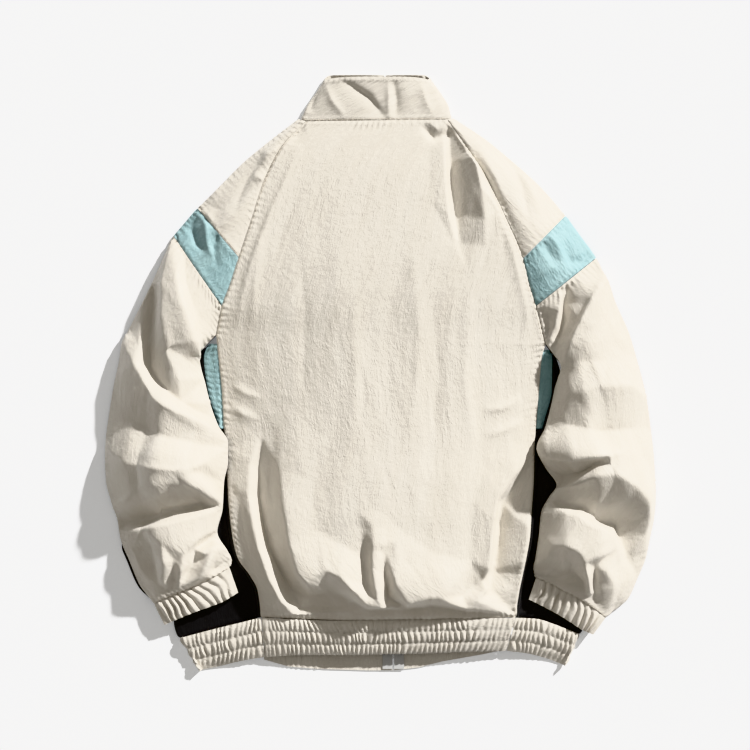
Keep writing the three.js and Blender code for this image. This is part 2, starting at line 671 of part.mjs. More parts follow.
function addWaistBack() {
  const width = WAIST_BACK[WAIST_BACK.length - 1].topX - WAIST_BACK[0].topX;
  const gathers = Math.round(width / GATHER_PITCH);
  const down = evenly(4);
  const point = (v, t, raised) => {
    const { x, y } = bandPlace(WAIST_BACK, t, v);
    const belly = Math.sin(Math.PI * v) * 1.5;
    const crown = 6 * Math.sin(Math.PI * t) ** 0.5;
    return new THREE.Vector3(x, y, WAIST_TOP - 1.5 + belly + crown + raised);
  };
  const across = evenly(gathers * 2);
  const outer = down.map((v) => across.map((t, k) => {
    const inside = k > 0 && k < across.length - 1 ? 1 : 0;
    return point(v, t, inside * (k % 2 ? 1 : -1) * GATHER_DEPTH);
  }));
  const inner = down.map((v) => across.map((t) => point(v, t, -GATHER_DEPTH - CLOTH)));
  add('waistband_back', wall(outer, -1, { inner }), CREAM);
}

// The side's lower half: round its outer fold and back under to the front
const WAIST_FOLD = table(['across', 'z'], [
  [0.975, 8.5], [1, 5.2], [0.975, 1.4], [0.93, 0], [0.62, 0], [0.32, 0], [0.05, 0],
]);

function addWaistSide(side) {
  const width = Math.abs(side.waist[side.waist.length - 1].topX - side.waist[0].topX);
  const gathers = Math.round(width / GATHER_PITCH);
  const down = evenly(4);
  const steps = gathers * 2;
  const grid = down.map((v) => {
    const line = [];
    for (let k = 0; k < steps; k += 1) {
      const t = k / steps;
      const { x, y } = bandPlace(side.waist, t, v);
      const ruffle = k > 0 ? (k % 2 ? 1 : -1) * GATHER_DEPTH * 0.6 : 0;
      const z = lerp(WAIST_TOP, 11, smoothstep(0, 1, t));
      line.push(new THREE.Vector3(x, y, z - 1.5 * Math.cos(Math.PI * v) ** 2 + ruffle));
    }
    for (const { across, z } of WAIST_FOLD) {
      const { x, y } = bandPlace(side.waist, across, v);
      line.push(new THREE.Vector3(x, y, z));
    }
    return line;
  });
  add(`waistband_side_${side.label}`, wall(grid, -side.hand, { sheet: false }), CREAM);
}

function addWaistFront() {
  const stripes = [
    ['waistband_front_left', FRONT_HEM[0].x, TAB_ENDS[0]],
    ['front_tab_left', TAB_ENDS[0], null],
    ['front_tab_right', null, TAB_ENDS[1]],
    ['waistband_front_right', TAB_ENDS[1], FRONT_HEM[FRONT_HEM.length - 1].x],
  ];
  for (const [name, from, to] of stripes) {
    const grid = evenly(3).map((v) => evenly(6).map((t) => {
      const zipSide = (x, y) => x ?? closureX(y) + (from === null ? 1 : -1) * ZIP_GAP / 2;
      const roughY = lookUpHem(lerp(from ?? 0, to ?? 0, t), v < 0.5 ? 'top' : 'bottom');
      const x = lerp(zipSide(from, roughY) + SEAM / 2, zipSide(to, roughY) - SEAM / 2, t);
      const y = lerp(lookUpHem(x, 'top'), lookUpHem(x, 'bottom'), v);
      return new THREE.Vector3(x, y, 0);
    }));
    add(name, wall(grid, 1), CREAM);
  }
}

// Collar: a stand folded flat, open at the closure below
function addCollar() {
  const across = evenly(12);
  const rows = evenly(5);
  const sideX = (name, v) => along(COLLAR_SIDES, name, v * (COLLAR_SIDES.length - 1));
  const grid = rows.map((v) => {
    const left = sideX('left', v);
    const right = sideX('right', v);
    const frontY = (x) => lerp(neckSeamY(x) + 3 * SEAM, COLLAR_EDGE.front, v);
    const backY = (x, t) => lerp(backNeckY(x) + 3 * SEAM, COLLAR_EDGE.back - 3 * (2 * t - 1) ** 6, v);
    const line = [];
    const closure = closureX(lerp(neckSeamY(SLIDER.x), COLLAR_EDGE.front, v));
    for (const t of evenly(NECK_STEPS)) {
      const x = lerp(closure - ZIP_GAP / 2, left - COLLAR_SIDES[0].left + RAGLAN_LEFT[0].x, t);
      const y = frontY(x);
      line.push(new THREE.Vector3(x, y, liftOverSlider(x, y)));
    }
    line.push(new THREE.Vector3(left, lerp(backNeckY(left) + 3 * SEAM, COLLAR_EDGE.back, v), 4));
    for (const t of across) {
      const x = lerp(left + 2, right - 2, t);
      const crease = COLLAR_CREASE * Math.exp(-(((x - 12) / 14) ** 2)) * Math.sin(Math.PI * v);
      const top = lerp(RAGLAN_LEFT[0].z + 1, COLLAR_TOP, Math.sin(Math.PI * 0.6 * v));
      line.push(new THREE.Vector3(x, backY(x, t), lerp(8, top, dome(t)) - crease));
    }
    line.push(new THREE.Vector3(right, lerp(backNeckY(right) + 3 * SEAM, COLLAR_EDGE.back, v), 4));
    for (const t of evenly(NECK_STEPS).reverse()) {
      const x = lerp(closure + ZIP_GAP / 2, right - COLLAR_SIDES[0].right + RAGLAN_RIGHT[0].x, t);
      const y = frontY(x);
      line.push(new THREE.Vector3(x, y, liftOverSlider(x, y)));
    }
    return line;
  });
  add('collar', wall(grid, 1, { sheet: false }), CREAM);
}

// Zip: a tape on each side of the closure, inside the fronts and the collar
function addZipTape(side) {
  const low = CLOSURE.hemY + 2;
  const neck = neckSeamY(SLIDER.x) + 3 * SEAM;
  const top = COLLAR_EDGE.front - 2;
  const heights = [low, ...evenly(NECK_STEPS).map((t) => lerp(neck, top, t))];
  const grid = heights.map((y) => [0, 1].map((u) => {
    const x = closureX(y) + side.hand * (ZIP_GAP / 2 + u * ZIP_TAPE_WIDTH);
    return new THREE.Vector3(x, y, liftOverSlider(SLIDER.x, y) + CLOTH + 2 * SEAM);
  }));
  const upper = grid.map((line) => line.map((point) => point.clone().setZ(point.z + TAPE_THICK)));
  add(`zip_tape_${side.label}`, wall(grid, 1, { inner: upper }), GREY_TAPE);
}

// Flat piece with rounded corners, drawn from above between two heights
function plate(x, y, width, length, low, high, hole = null) {
  const round = Math.min(width, length) * 0.3;
  const [w, l] = [width / 2 - round, length / 2 - round];
  const shape = new THREE.Shape();
  shape.absarc(w, l, round, 0, Math.PI / 2);
  shape.absarc(-w, l, round, Math.PI / 2, Math.PI);
  shape.absarc(-w, -l, round, Math.PI, Math.PI * 1.5);
  shape.absarc(w, -l, round, Math.PI * 1.5, Math.PI * 2);
  if (hole) {
    const path = new THREE.Path();
    path.moveTo(-hole.width / 2, hole.from);
    path.lineTo(-hole.width / 2, hole.to);
    path.lineTo(hole.width / 2, hole.to);
    path.lineTo(hole.width / 2, hole.from);
    shape.holes.push(path);
  }
  return new THREE.ExtrudeGeometry(shape, { depth: high - low, bevelEnabled: false, curveSegments: 4 })
    .translate(x, y, low);
}

function block(x, y, z, width, length, height) {
  return new THREE.BoxGeometry(width, length, height).translate(x, y, z);
}

function joined(geometries) {
  const parts = geometries.map((geometry) => {
    geometry.deleteAttribute('normal');
    geometry.deleteAttribute('uv');
    const merged = mergeVertices(geometry, 1e-4);
    const vertProperties = new Float32Array(merged.attributes.position.array);
    const triVerts = new Uint32Array(merged.index.array);
    return new wasm.Manifold(new wasm.Mesh({ numProp: 3, vertProperties, triVerts }));
  });
  const mesh = parts.reduce((whole, next) => whole.add(next)).getMesh();
  const geometry = new THREE.BufferGeometry();
  geometry.setAttribute('position', new THREE.Float32BufferAttribute(mesh.vertProperties, 3));
  geometry.setIndex([...mesh.triVerts]);
  geometry.computeVertexNormals();
  return geometry;
}

function addSlider() {
  const { x, y, width, length, lowest, plate: thick, upper } = SLIDER;
  const post = ZIP_GAP * 0.6;
  const bailTop = lowest + thick / 2;
  const bailY = BAIL.reach - BAIL.post / 2;
  const bailMid = (BAIL.lowest + bailTop) / 2;
  add('zip_slider', joined([
    plate(x, y, width, length, lowest, lowest + thick),
    plate(x, y, width, length, upper, upper + thick * 0.7),
    block(x, y, (lowest + upper + thick) / 2, post, length * 0.6, upper - lowest),
    block(x, y + bailY, bailMid, BAIL.width, BAIL.post, bailTop - BAIL.lowest),
    block(x, y - bailY, bailMid, BAIL.width, BAIL.post, bailTop - BAIL.lowest),
    block(x, y, BAIL.lowest + BAIL.bar / 2, BAIL.width, 2 * BAIL.reach, BAIL.bar),
  ]), METAL);
}

// The pull hangs on the slider's bail by its eye and lies flat under the collar
function addPull() {
  const middle = SLIDER.y + PULL.eye - PULL.length / 2;
  const low = PULL.axisZ - PULL.thick / 2;
  const hole = {
    width: PULL.holeWidth,
    from: SLIDER.y - PULL.hole - middle,
    to: SLIDER.y - PULL.eye - middle,
  };
  add('zip_pull', plate(SLIDER.x, middle, PULL.width, PULL.length, low, low + PULL.thick, hole), METAL);
}

addBack();
addCollar();
for (const side of SIDES) {
  addSleeve(side);
  addInsert(side);
  addSidePanel(side);
  addFront(side);
  addCuff(side);
  addWaistSide(side);
  addZipTape(side);
}
addWaistBack();
addWaistFront();
addSlider();
addPull();

export default jacket;
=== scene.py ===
# Looks of the zipped windbreaker jacket, laid flat on its front with its back up.
# The tables are in millimetres, in the part's own frame: +X to the right of
# someone looking down at the back, +Y towards the collar, +Z up. Those of the
# creases and facets are in photo pixels, with heights in millimetres.

import math

import bpy
import numpy as np
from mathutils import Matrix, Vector
from mathutils.geometry import delaunay_2d_cdt


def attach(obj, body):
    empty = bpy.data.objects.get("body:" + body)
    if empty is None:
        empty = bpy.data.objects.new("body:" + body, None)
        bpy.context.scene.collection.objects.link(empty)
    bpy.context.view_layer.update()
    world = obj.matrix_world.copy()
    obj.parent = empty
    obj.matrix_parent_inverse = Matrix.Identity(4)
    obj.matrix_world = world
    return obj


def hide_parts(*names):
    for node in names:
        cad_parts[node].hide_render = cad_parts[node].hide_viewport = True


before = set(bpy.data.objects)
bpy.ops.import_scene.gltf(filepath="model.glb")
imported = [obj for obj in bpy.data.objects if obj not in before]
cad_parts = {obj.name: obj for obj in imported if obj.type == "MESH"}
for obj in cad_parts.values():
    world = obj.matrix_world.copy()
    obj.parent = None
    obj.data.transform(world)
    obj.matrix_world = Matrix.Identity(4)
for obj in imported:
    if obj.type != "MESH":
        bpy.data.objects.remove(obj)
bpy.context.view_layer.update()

MM = 0.001

# Camera and the photo's scale
FIELD = 975.0            # what the picture shows across, at the cloth
CAMERA_HEIGHT = 2500.0
SENSOR = 36.0
CLOTH_LEVEL = 15.0
PHOTO_SCALE = 1.3        # millimetres a photo pixel
PHOTO_MIDDLE = (380.4, 372.75)
PICTURE_MIDDLE = 375.0

# Walls, seams and heights, as in the part
CLOTH = 0.8              # the shell's own thickness
WALL = 1.5               # the solid's wall
SEAM = 0.06              # pieces meet more closely here than their solids do
RIM = 3.3                # top face of an upper layer that lies on a lower one
NOSE = 5.0
PANEL_TOP = 6.2
WAIST_TOP = 16.0
COLLAR_TOP = 16.0
ZIP_TAPE_WIDTH = 13.0
TAPE_THICK = 0.8
ZIP_GAP = 2.0
UNDERARM = 7
BAND_FROM = 4
BAND_TO = 6
CREASE_ROUND = 2.5
PIECE_END = 0.008

# Grid of the shells
FINE = 2.5               # spacing of the points that show from above
COARSE = 5.0             # spacing on the floor side
EDGE_STEPS = (0.0, 1.2, 2.6, 4.2)


def table(columns, rows):
    """A table with named columns, each an array."""
    values = np.array(rows, float)
    return {name: values[:, i] for i, name in enumerate(columns.split())}


EDGE = "x y z"
FREE_EDGE = "x y perch rise"
FOLD = "x1 y1 x2 y2 height left right bow"

# Raglan seams from the neck to the underarm, with the height of the cloth there
RAGLAN_LEFT = table(EDGE, [
    (-97, 327, 13), (-129, 293, 17), (-153, 245, 20), (-167, 201, 22),
    (-184, 150, 23), (-196, 113, 22), (-206, 87, 20), (-214, 49, 13),
])
RAGLAN_RIGHT = table(EDGE, [
    (87, 329, 13), (113, 292, 17), (136, 258, 20), (161, 204, 22),
    (185, 148, 23), (193, 115, 22), (202, 87, 20), (215, 37, 13),
])

# Outer edge of each sleeve from the neck to the cuff
OUTER_LEFT = table("x y crown", [
    (-108, 331, 1), (-141, 306, 3), (-179, 275, 5), (-211, 243, 6),
    (-239, 215, 7), (-255, 197, 8), (-270, 179, 9), (-300, 115, 15),
    (-329, 57, 22), (-338, 40, 25), (-342, 14, 27), (-349, -19, 30),
    (-355, -56, 32), (-359, -87, 33), (-360, -108, 33), (-359, -139, 32),
    (-352, -168, 30), (-344, -191, 28), (-340, -216, 27), (-328, -246, 25),
    (-313, -280, 19), (-294, -301, 9),
])
OUTER_RIGHT = table("x y crown", [
    (96, 332, 1), (136, 306, 3), (168, 280, 5), (207, 245, 6),
    (242, 205, 7), (262, 178, 8), (282, 150, 9), (311, 84, 15),
    (325, 52, 22), (335, 19, 25), (344, -15, 28), (350, -46, 30),
    (354, -77, 32), (357, -103, 33), (359, -133, 33), (360, -163, 32),
    (358, -189, 30), (353, -214, 28), (347, -242, 26), (336, -269, 24),
    (322, -298, 18), (293, -319, 9),
])

# Inner edge of each sleeve from the underarm to the cuff
INNER_LEFT = table(FREE_EDGE, [
    (-214, 49, 0, 9.7), (-227, 35, 4, 5), (-236, 22, 7.8, 2), (-233, 5, 7.8, 0),
    (-228, -13, 7.8, 0), (-222, -38, 8.5, 0), (-211, -68, 11, 0), (-198, -91, 12, 0),
    (-198, -116, 12, 0), (-203, -142, 11, 0), (-205, -177, 10, 0), (-212, -207, 9.5, 0),
    (-199, -231, 9.5, 0), (-193, -244, 9.5, 0), (-196, -253, 9.5, 0),
])
INNER_RIGHT = table(FREE_EDGE, [
    (215, 37, 0, 9.7), (227, 21, 4, 5), (236, 7, 7.8, 2), (228, -15, 7.8, 0),
    (222, -42, 8.5, 0), (214, -71, 9.5, 0), (203, -97, 10, 0), (214, -123, 7.8, 0),
    (229, -146, 7.8, 0), (219, -162, 7.8, 0), (209, -182, 7.8, 0), (206, -212, 7.8, 0),
    (202, -238, 7.8, 0), (199, -255, 7.8, 0), (202, -267, 7.8, 0),
])

# Back side seams from the underarm to the waistband
SIDE_LEFT = table(EDGE, [
    (-214, 49, 13), (-211, 19, 11), (-207, -22, 8.5), (-205, -61, 7.5),
    (-203, -100, 7.5), (-200, -139, 9), (-197, -180, 12), (-193, -211, 14),
    (-186, -240, 16), (-170, -263, 17), (-160, -282, 17), (-157, -301, 16),
    (-155, -316, 15),
])
SIDE_RIGHT = table(EDGE, [
    (215, 37, 13), (210, 17, 11), (207, -22, 8.5), (204, -61, 7.5),
    (201, -100, 8.5), (200, -139, 11), (197, -180, 13), (195, -211, 14),
    (190, -240, 16), (185, -263, 17), (181, -282, 17), (178, -301, 16),
    (176, -316, 15),
])
BACK_CROWN = [1, 3, 5, 6, 8, 10, 12, 18, 20, 23, 25, 26, 27, 27, 26, 25, 24, 21, 16, 5]

# Outer fold of each side panel and its seam with the front
FOLD_LINE = "x y front_x"
FOLD_LEFT = table(FOLD_LINE, [
    (-223, 43, -213), (-242, 14, -206), (-255, -28, -200), (-261, -69, -196),
    (-263, -110, -193), (-265, -151, -190), (-267, -193, -186), (-268, -227, -182),
    (-269, -256, -178), (-270, -282, -172), (-270, -302, -166), (-270, -321, -160),
    (-263, -343, -155),
])
FOLD_RIGHT = table(FOLD_LINE, [
    (223, 31, 213), (233, 9, 206), (243, -30, 200), (249, -71, 197),
    (253, -111, 195), (257, -151, 193), (259, -191, 191), (262, -225, 189),
    (263, -255, 186), (265, -280, 184), (265, -300, 181), (265, -318, 178),
    (261, -337, 176),
])
INSERT_LEFT = table("x", [(-216.5,), (-230,), (-225,), (-214,), (-205.5,)])
INSERT_RIGHT = table("x", [(217,), (224,), (223.5,), (214,), (204,)])
INSERT_FROM = 0.4
INSERT_ROWS = 3.3
INSERT_EDGE = 7.0

# Largest folds, as in the part
BACK_FOLDS = table(FOLD, [
    (-125, -30, -104, -300, -11, 20, 17, -26),
    (-200, -130, -112, -312, 8, 14, 16, 0),
    (176, -118, 150, -296, -11, 16, 26, -12),
    (-94, -288, 145, -281, 7, 26, 9, -12),
    (-5, -200, 5, -299, 8, 12, 9, 0),
    (-17, -214, -14, -282, -5, 7, 8, 0),
    (100, 310, 100, 165, -9, 12, 15, -6),
    (90, 296, 152, 168, 5, 14, 9, 6),
    (-60, 260, -66, -60, 3.5, 26, 18, 8),
    (30, 200, 18, -120, -3, 22, 22, -8),
    (84, 60, 96, -240, 4, 22, 18, 6),
])
LEFT_FOLDS = table(FOLD, [
    (-272, 178, -226, -60, 10, 24, 15, 4),
    (-288, 140, -299, -6, -9, 16, 9, 0),
    (-300, 120, -300, -6, 4, 7, 16, 0),
    (-306, 18, -199, -87, 11, 26, 12, -12),
    (-340, -98, -212, -112, 8, 20, 16, 0),
    (-338, -190, -256, -142, 9, 18, 9, 8),
    (-258, -120, -205, -178, 11, 16, 9, 4),
    (-325, -196, -216, -182, -8, 12, 14, 0),
    (-212, 232, -226, 122, -5, 10, 12, 0),
    (-262, -200, -286, -292, 5, 11, 9, 0),
    (-236, -190, -246, -268, 5, 9, 8, 0),
    (-212, -222, -232, -262, 5, 7, 7, 0),
])
RIGHT_FOLDS = table(FOLD, [
    (284, 138, 240, 14, -11, 15, 12, -4),
    (294, 106, 204, -92, 9, 22, 9, 6),
    (250, 95, 222, 44, -4, 7, 8, 0),
    (222, -88, 330, -62, 7, 20, 16, 0),
    (208, -108, 286, -116, -8, 8, 12, 0),
    (236, -148, 288, -116, 10, 10, 11, 6),
    (222, -160, 345, -196, -9, 14, 16, -8),
    (224, -172, 322, -206, 8, 12, 18, 0),
    (322, -200, 318, -290, -6, 14, 12, 0),
    (250, -214, 238, -284, 5, 9, 8, 0),
    (282, -226, 272, -300, 5, 9, 8, 0),
    (222, -212, 214, -262, 5, 8, 7, 0),
])

# Cuffs and waistband: top and bottom edge
BAND = "top_x top_y bottom_x bottom_y"
CUFF_LEFT = table(BAND, [
    (-294, -301.6, -281, -328), (-279, -293, -262, -320), (-262, -285.5, -244, -312.5),
    (-240, -277, -225, -305.5), (-218, -266.5, -205, -298), (-196, -253.6, -185, -286),
])
CUFF_RIGHT = table(BAND, [
    (293, -319.6, 277, -341), (279, -308, 263, -335), (262, -295.5, 246, -324),
    (242, -284.5, 228, -313), (221, -274, 210, -303.5), (202, -267.6, 193, -295),
])
CUFF_TOP = 13.0
WAIST_BACK = table(BAND, [
    (-154.6, -318, -150, -371), (-110, -320, -97, -368), (-58, -321.5, -44, -368),
    (0, -321, 0, -367), (58, -320, 55, -366), (115, -319, 110, -364),
    (175.6, -318.4, 164, -363),
])
WAIST_LEFT = table(BAND, [
    (-155.2, -318.2, -150.6, -371.2), (-194, -328, -183, -377), (-227, -336.5, -208, -383),
    (-262, -346, -237, -389),
])
WAIST_RIGHT = table(BAND, [
    (176.2, -318.6, 164.6, -363.2), (202, -320, 192, -367), (228, -328, 216, -373),
    (260, -341, 242, -383),
])
WAIST_FOLD = table("across z", [
    (0.975, 8.5), (1, 5.2), (0.975, 1.4), (0.93, 0), (0.62, 0), (0.32, 0), (0.05, 0),
])
FRONT_HEM = table("x top bottom", [
    (-152, -318.5, -375), (-120, -323.1, -384), (-83, -328.4, -387), (-16, -338, -389),
    (17, -338, -389), (51, -333.7, -385), (83, -329.7, -377), (129, -324, -369),
    (163, -319.7, -362),
])
TAB_ENDS = (-83.0, 83.0)

# Front closure and collar
CLOSURE = {"hem_x": 17.0, "hem_y": -389.0, "top_x": 6.0, "top_y": 389.0}
NECK_DROP = 58.0
COLLAR_SIDES = table("left right y", [
    (-104, 93, 331), (-97, 89, 348), (-84, 78, 372), (-72, 64, 388),
])
COLLAR_EDGE = {"back": 385.0, "front": 389.0}
COLLAR_CREASE = 2.0
COLLAR_CURL = 5.0
SLIDER_ROOM = 5.6
SLIDER_X = 6.6
SLIDER_SIDES = (17, 44)
SLIDER_BELOW = (271, 294)
SLIDER_ABOVE = (366, 389)


def photo(px, py):
    """Place in the part's frame of a pixel of the photo."""
    x = (px - PHOTO_MIDDLE[0]) * PHOTO_SCALE
    y = (PHOTO_MIDDLE[1] - py) * PHOTO_SCALE
    return x, y


def lerp(a, b, t):
    return a + (b - a) * t


def smoothstep(low, high, value):
    t = np.clip((value - low) / (high - low), 0, 1)
    return t * t * (3 - 2 * t)


def smooth(values, at):
    """A smooth curve through evenly numbered values that never swings past them."""
    values = np.asarray(values, float)
    last = len(values) - 1
    t = np.clip(np.asarray(at, float), 0, last)
    i = np.minimum(t.astype(int), last - 1)
    step = np.diff(values)
    slope = np.empty(last + 1)
    slope[0], slope[last] = step[0], step[-1]
    product = step[:-1] * step[1:]
    total = np.where(product <= 0, 1, step[:-1] + step[1:])
    slope[1:-1] = np.where(product <= 0, 0, 2 * product / total)
    f = t - i
    g = 1 - f
    ends = values[i] * (1 + 2 * f) * g * g + values[i + 1] * (3 - 2 * f) * f * f
    return ends + slope[i] * f * g * g - slope[i + 1] * f * f * g


def along(rows, name, at):
    return smooth(rows[name], at)


def look_up(rows, key, name, value):
    """Value of a column where another, sorted one is given."""
    keys, values = rows[key], rows[name]
    if keys[0] > keys[-1]:
        keys, values = keys[::-1], values[::-1]
    return np.interp(value, keys, values)


# The solids' soft folds stay as a base for the sharper ones, steeper away from the light
FOLD_GAIN = 0.35
LIGHT_FROM = (0.70, 0.71)
LEE_WIDTH = 0.72


def fold_height(folds, x, y):
    """Height that the large folds add at a place."""
    total = np.zeros_like(x)
    for k in range(len(folds["x1"])):
        x1, y1, x2, y2, height, left, right, bow = (folds[name][k] for name in FOLD.split())
        dx, dy = x2 - x1, y2 - y1
        length = math.hypot(dx, dy)
        t = ((x - x1) * dx + (y - y1) * dy) / length ** 2
        inside = (t > 0) & (t < 1)
        t = np.clip(t, 0, 1)
        off = ((y - y1) * dx - (x - x1) * dy) / length - bow * 4 * t * (1 - t)
        lit_left = LIGHT_FROM[1] * dx - LIGHT_FROM[0] * dy > 0
        lee_left, lee_right = (1, LEE_WIDTH) if lit_left == (height > 0) else (LEE_WIDTH, 1)
        width = np.where(off > 0, left * lee_left, right * lee_right)
        distance = np.hypot(off, CREASE_ROUND) - CREASE_ROUND
        ends = np.maximum(np.sin(math.pi * t), 0) ** 0.75
        ridge = ends * np.exp(-((distance / width) ** 1.5))
        total += np.where(inside, FOLD_GAIN * height * ridge, 0)
    return total


def dome(u):
    return np.maximum(np.sin(math.pi * np.clip(u, 0, 1)), 0) ** 0.75


def shoulder(u):
    return np.sin(math.pi / 2 * np.clip(u, 0, 1))


def at_edges(u):
    return smoothstep(0, 0.16, u) * smoothstep(0, 0.16, 1 - u)


# The two sides share every function; hand is -1 on the left and 1 on the right.
LEFT = {
    "label": "left", "hand": -1, "raglan": RAGLAN_LEFT, "outer": OUTER_LEFT,
    "inner": INNER_LEFT, "side": SIDE_LEFT, "fold": FOLD_LEFT, "insert": INSERT_LEFT,
    "folds": LEFT_FOLDS, "cuff": CUFF_LEFT, "waist": WAIST_LEFT,
}
RIGHT = {
    "label": "right", "hand": 1, "raglan": RAGLAN_RIGHT, "outer": OUTER_RIGHT,
    "inner": INNER_RIGHT, "side": SIDE_RIGHT, "fold": FOLD_RIGHT, "insert": INSERT_RIGHT,
    "folds": RIGHT_FOLDS, "cuff": CUFF_RIGHT, "waist": WAIST_RIGHT,
}
BACK_LAST = UNDERARM + len(SIDE_LEFT["x"]) - 1
SLEEVE_LAST = len(OUTER_LEFT["x"]) - 1


def back_edge(side, v, name):
    """Edge of the back: the raglan seam, then the side seam."""
    if name == "z":
        return smooth(np.concatenate([side["raglan"]["z"][:-1], side["side"]["z"]]), v)
    above = along(side["raglan"], name, v)
    below = along(side["side"], name, v - UNDERARM)
    return np.where(v <= UNDERARM, above, below)


def sleeve_inner(side, v, name):
    """A column of the sleeve's inner edge, with the height of its top as z."""
    at = v - UNDERARM
    if name == "perch":
        return np.where(v <= UNDERARM, 0, along(side["inner"], "perch", at))
    if name == "z":
        free = along(side["inner"], "perch", at) + RIM + along(side["inner"], "rise", at)
    else:
        free = along(side["inner"], name, at)
    return np.where(v <= UNDERARM, back_edge(side, v, name), free)


def sleeve_underside(side, v, x, y):
    """Height of a sleeve's underside: on the floor outside the body, on it inside."""
    fold_x = look_up(side["fold"], "y", "x", y)
    inside = side["hand"] * (fold_x - x)
    rise = sleeve_inner(side, v, "perch") * smoothstep(-44, -18, inside)
    return np.where(v <= UNDERARM, 0, rise)


def sleeve_plan(side, v, u):
    ax, ay = along(side["outer"], "x", v), along(side["outer"], "y", v)
    bx, by = sleeve_inner(side, v, "x"), sleeve_inner(side, v, "y")
    width = np.hypot(bx - ax, by - ay)
    gap = np.where(v <= UNDERARM + 1, SEAM / 2 / width, 0)
    t = np.minimum(u, 1 - gap)
    last = len(side["cuff"]["top_x"]) - 1
    at_cuff = np.maximum(0, v - SLEEVE_LAST + 1)
    seam_x = along(side["cuff"], "top_x", u * last)
    seam_y = along(side["cuff"], "top_y", u * last) + SEAM
    x = lerp(lerp(ax, bx, t), seam_x, at_cuff)
    y = lerp(lerp(ay, by, t), seam_y, at_cuff)
    return x, y, bx, by


def sleeve_top(side, v, u):
    x, y, bx, by = sleeve_plan(side, v, u)
    rest = sleeve_underside(side, v, x, y) + RIM
    inner_rest = sleeve_underside(side, v, bx, by) + RIM
    crown = along(side["outer"], "crown", v)
    lift = (sleeve_inner(side, v, "z") - inner_rest) * shoulder(u) + crown * dome(u)
    folded = fold_height(side["folds"], x, y) * at_edges(u) * np.clip(crown / 12, 0, 1)
    return np.stack([x, y, rest + np.maximum(lift + folded, 0.25 * lift)], -1)


def sleeve_bottom(side, v, u):
    x, y, _, _ = sleeve_plan(side, v, u)
    out = lerp(-TUCK, PEEP, peep_share(side, y))
    x = x + side["hand"] * out * (1 - u) ** 3
    return np.stack([x, y, sleeve_underside(side, v, x, y)], -1)


# On the left the black half shows past the outer edge above the cuff
PEEP = 3.4
TUCK = 2.2               # how far it is tucked in elsewhere
PEEP_SPAN = (-302.0, -214.0)
PEEP_FADE = 20


def peep_share(side, y):
    low, high = PEEP_SPAN
    share = smoothstep(low, low + PEEP_FADE, y) * (1 - smoothstep(high - PEEP_FADE, high, y))
    return share if side is LEFT else 0 * share


def waist_back_top(x):
    xs = WAIST_BACK["top_x"]
    share = (x - xs[0]) / (xs[-1] - xs[0])
    return along(WAIST_BACK, "top_y", share * (len(xs) - 1))


def back_point(v, u):
    ax, bx = back_edge(LEFT, v, "x"), back_edge(RIGHT, v, "x")
    ay, by = back_edge(LEFT, v, "y"), back_edge(RIGHT, v, "y")
    az, bz = back_edge(LEFT, v, "z"), back_edge(RIGHT, v, "z")
    gap = SEAM / 2 / (bx - ax)
    t = np.clip(u, gap, 1 - gap)
    x, y = lerp(ax, bx, t), lerp(ay, by, t)
    crown = smooth(BACK_CROWN, v)
    height = crown * dome(u)
    folded = fold_height(BACK_FOLDS, x, y) * at_edges(u) * np.clip(crown / 8, 0, 1)
    hem = lerp(y, waist_back_top(x) + SEAM, np.maximum(0, v - BACK_LAST + 1))
    z = lerp(az, bz, t) + np.maximum(height + folded, 0.2 * height)
    return np.stack([x, hem, z], -1)


def insert_point(side, v, u):
    outer_x = along(side["insert"], "x", v - UNDERARM)
    seam_x = back_edge(side, v, "x") + side["hand"] * SEAM
    z = lerp(INSERT_EDGE, back_edge(side, v, "z"), u)
    return np.stack([lerp(outer_x, seam_x, u), back_edge(side, v, "y"), z], -1)


def through(sections, share):
    """Points at a share of the way along lines of section points."""
    last = sections.shape[1] - 1
    lines = []
    for section in sections:
        gaps = np.linalg.norm(np.diff(section, axis=0), axis=1)
        run = np.concatenate([[0], np.cumsum(gaps)])
        place = np.interp(share * run[-1], run, np.arange(last + 1))
        lines.append(np.stack([smooth(section[:, k], place) for k in range(3)], -1))
    return np.array(lines)


def waist_side_top(side, x):
    return look_up(side["waist"], "top_x", "top_y", x)


def side_panel_section(side, v):
    """The side panel, folded in two: back seam, outer fold, front seam."""
    hand = side["hand"]
    at = v - UNDERARM
    seam = {name: float(back_edge(side, v, name)) for name in "xyz"}
    beside = at < INSERT_ROWS + 0.02
    insert_x = float(along(side["insert"], "x", at)) + hand * SEAM
    inner_x = insert_x if beside else seam["x"] + hand * 2 * SEAM
    inner_z = INSERT_EDGE if beside else seam["z"]
    fold_x = float(along(side["fold"], "x", at))
    fold_y = float(along(side["fold"], "y", at))
    front_x = float(along(side["fold"], "front_x", at)) + hand * 2 * SEAM
    top = min(lerp(RIM + 0.2, PANEL_TOP, float(smoothstep(0.9, 2, at))), inner_z)
    width, under = abs(fold_x - inner_x), abs(fold_x - front_x)
    nose, drop = min(NOSE, width * 0.4), min(7.0, width * 0.5)

    def place(inside, z):
        return fold_x - hand * inside, lerp(fold_y, seam["y"], inside / max(under, width)), z

    section = [(inner_x, seam["y"], inner_z), place(width - drop, top)]
    section += [place(lerp(width - drop, nose, k / 3), top) for k in (1, 2, 3)]
    section += [place(nose * 0.3, top * 0.85), place(0, top * 0.5), place(nose * 0.3, top * 0.15)]
    section += [place(lerp(nose, under, k / 3), 0) for k in (0, 1, 2)]
    section.append((front_x, seam["y"], 0))
    section = np.array(section)
    at_waist = max(0, v - BACK_LAST + 1)
    section[:, 1] = lerp(section[:, 1], waist_side_top(side, section[:, 0]) + SEAM, at_waist)
    return section


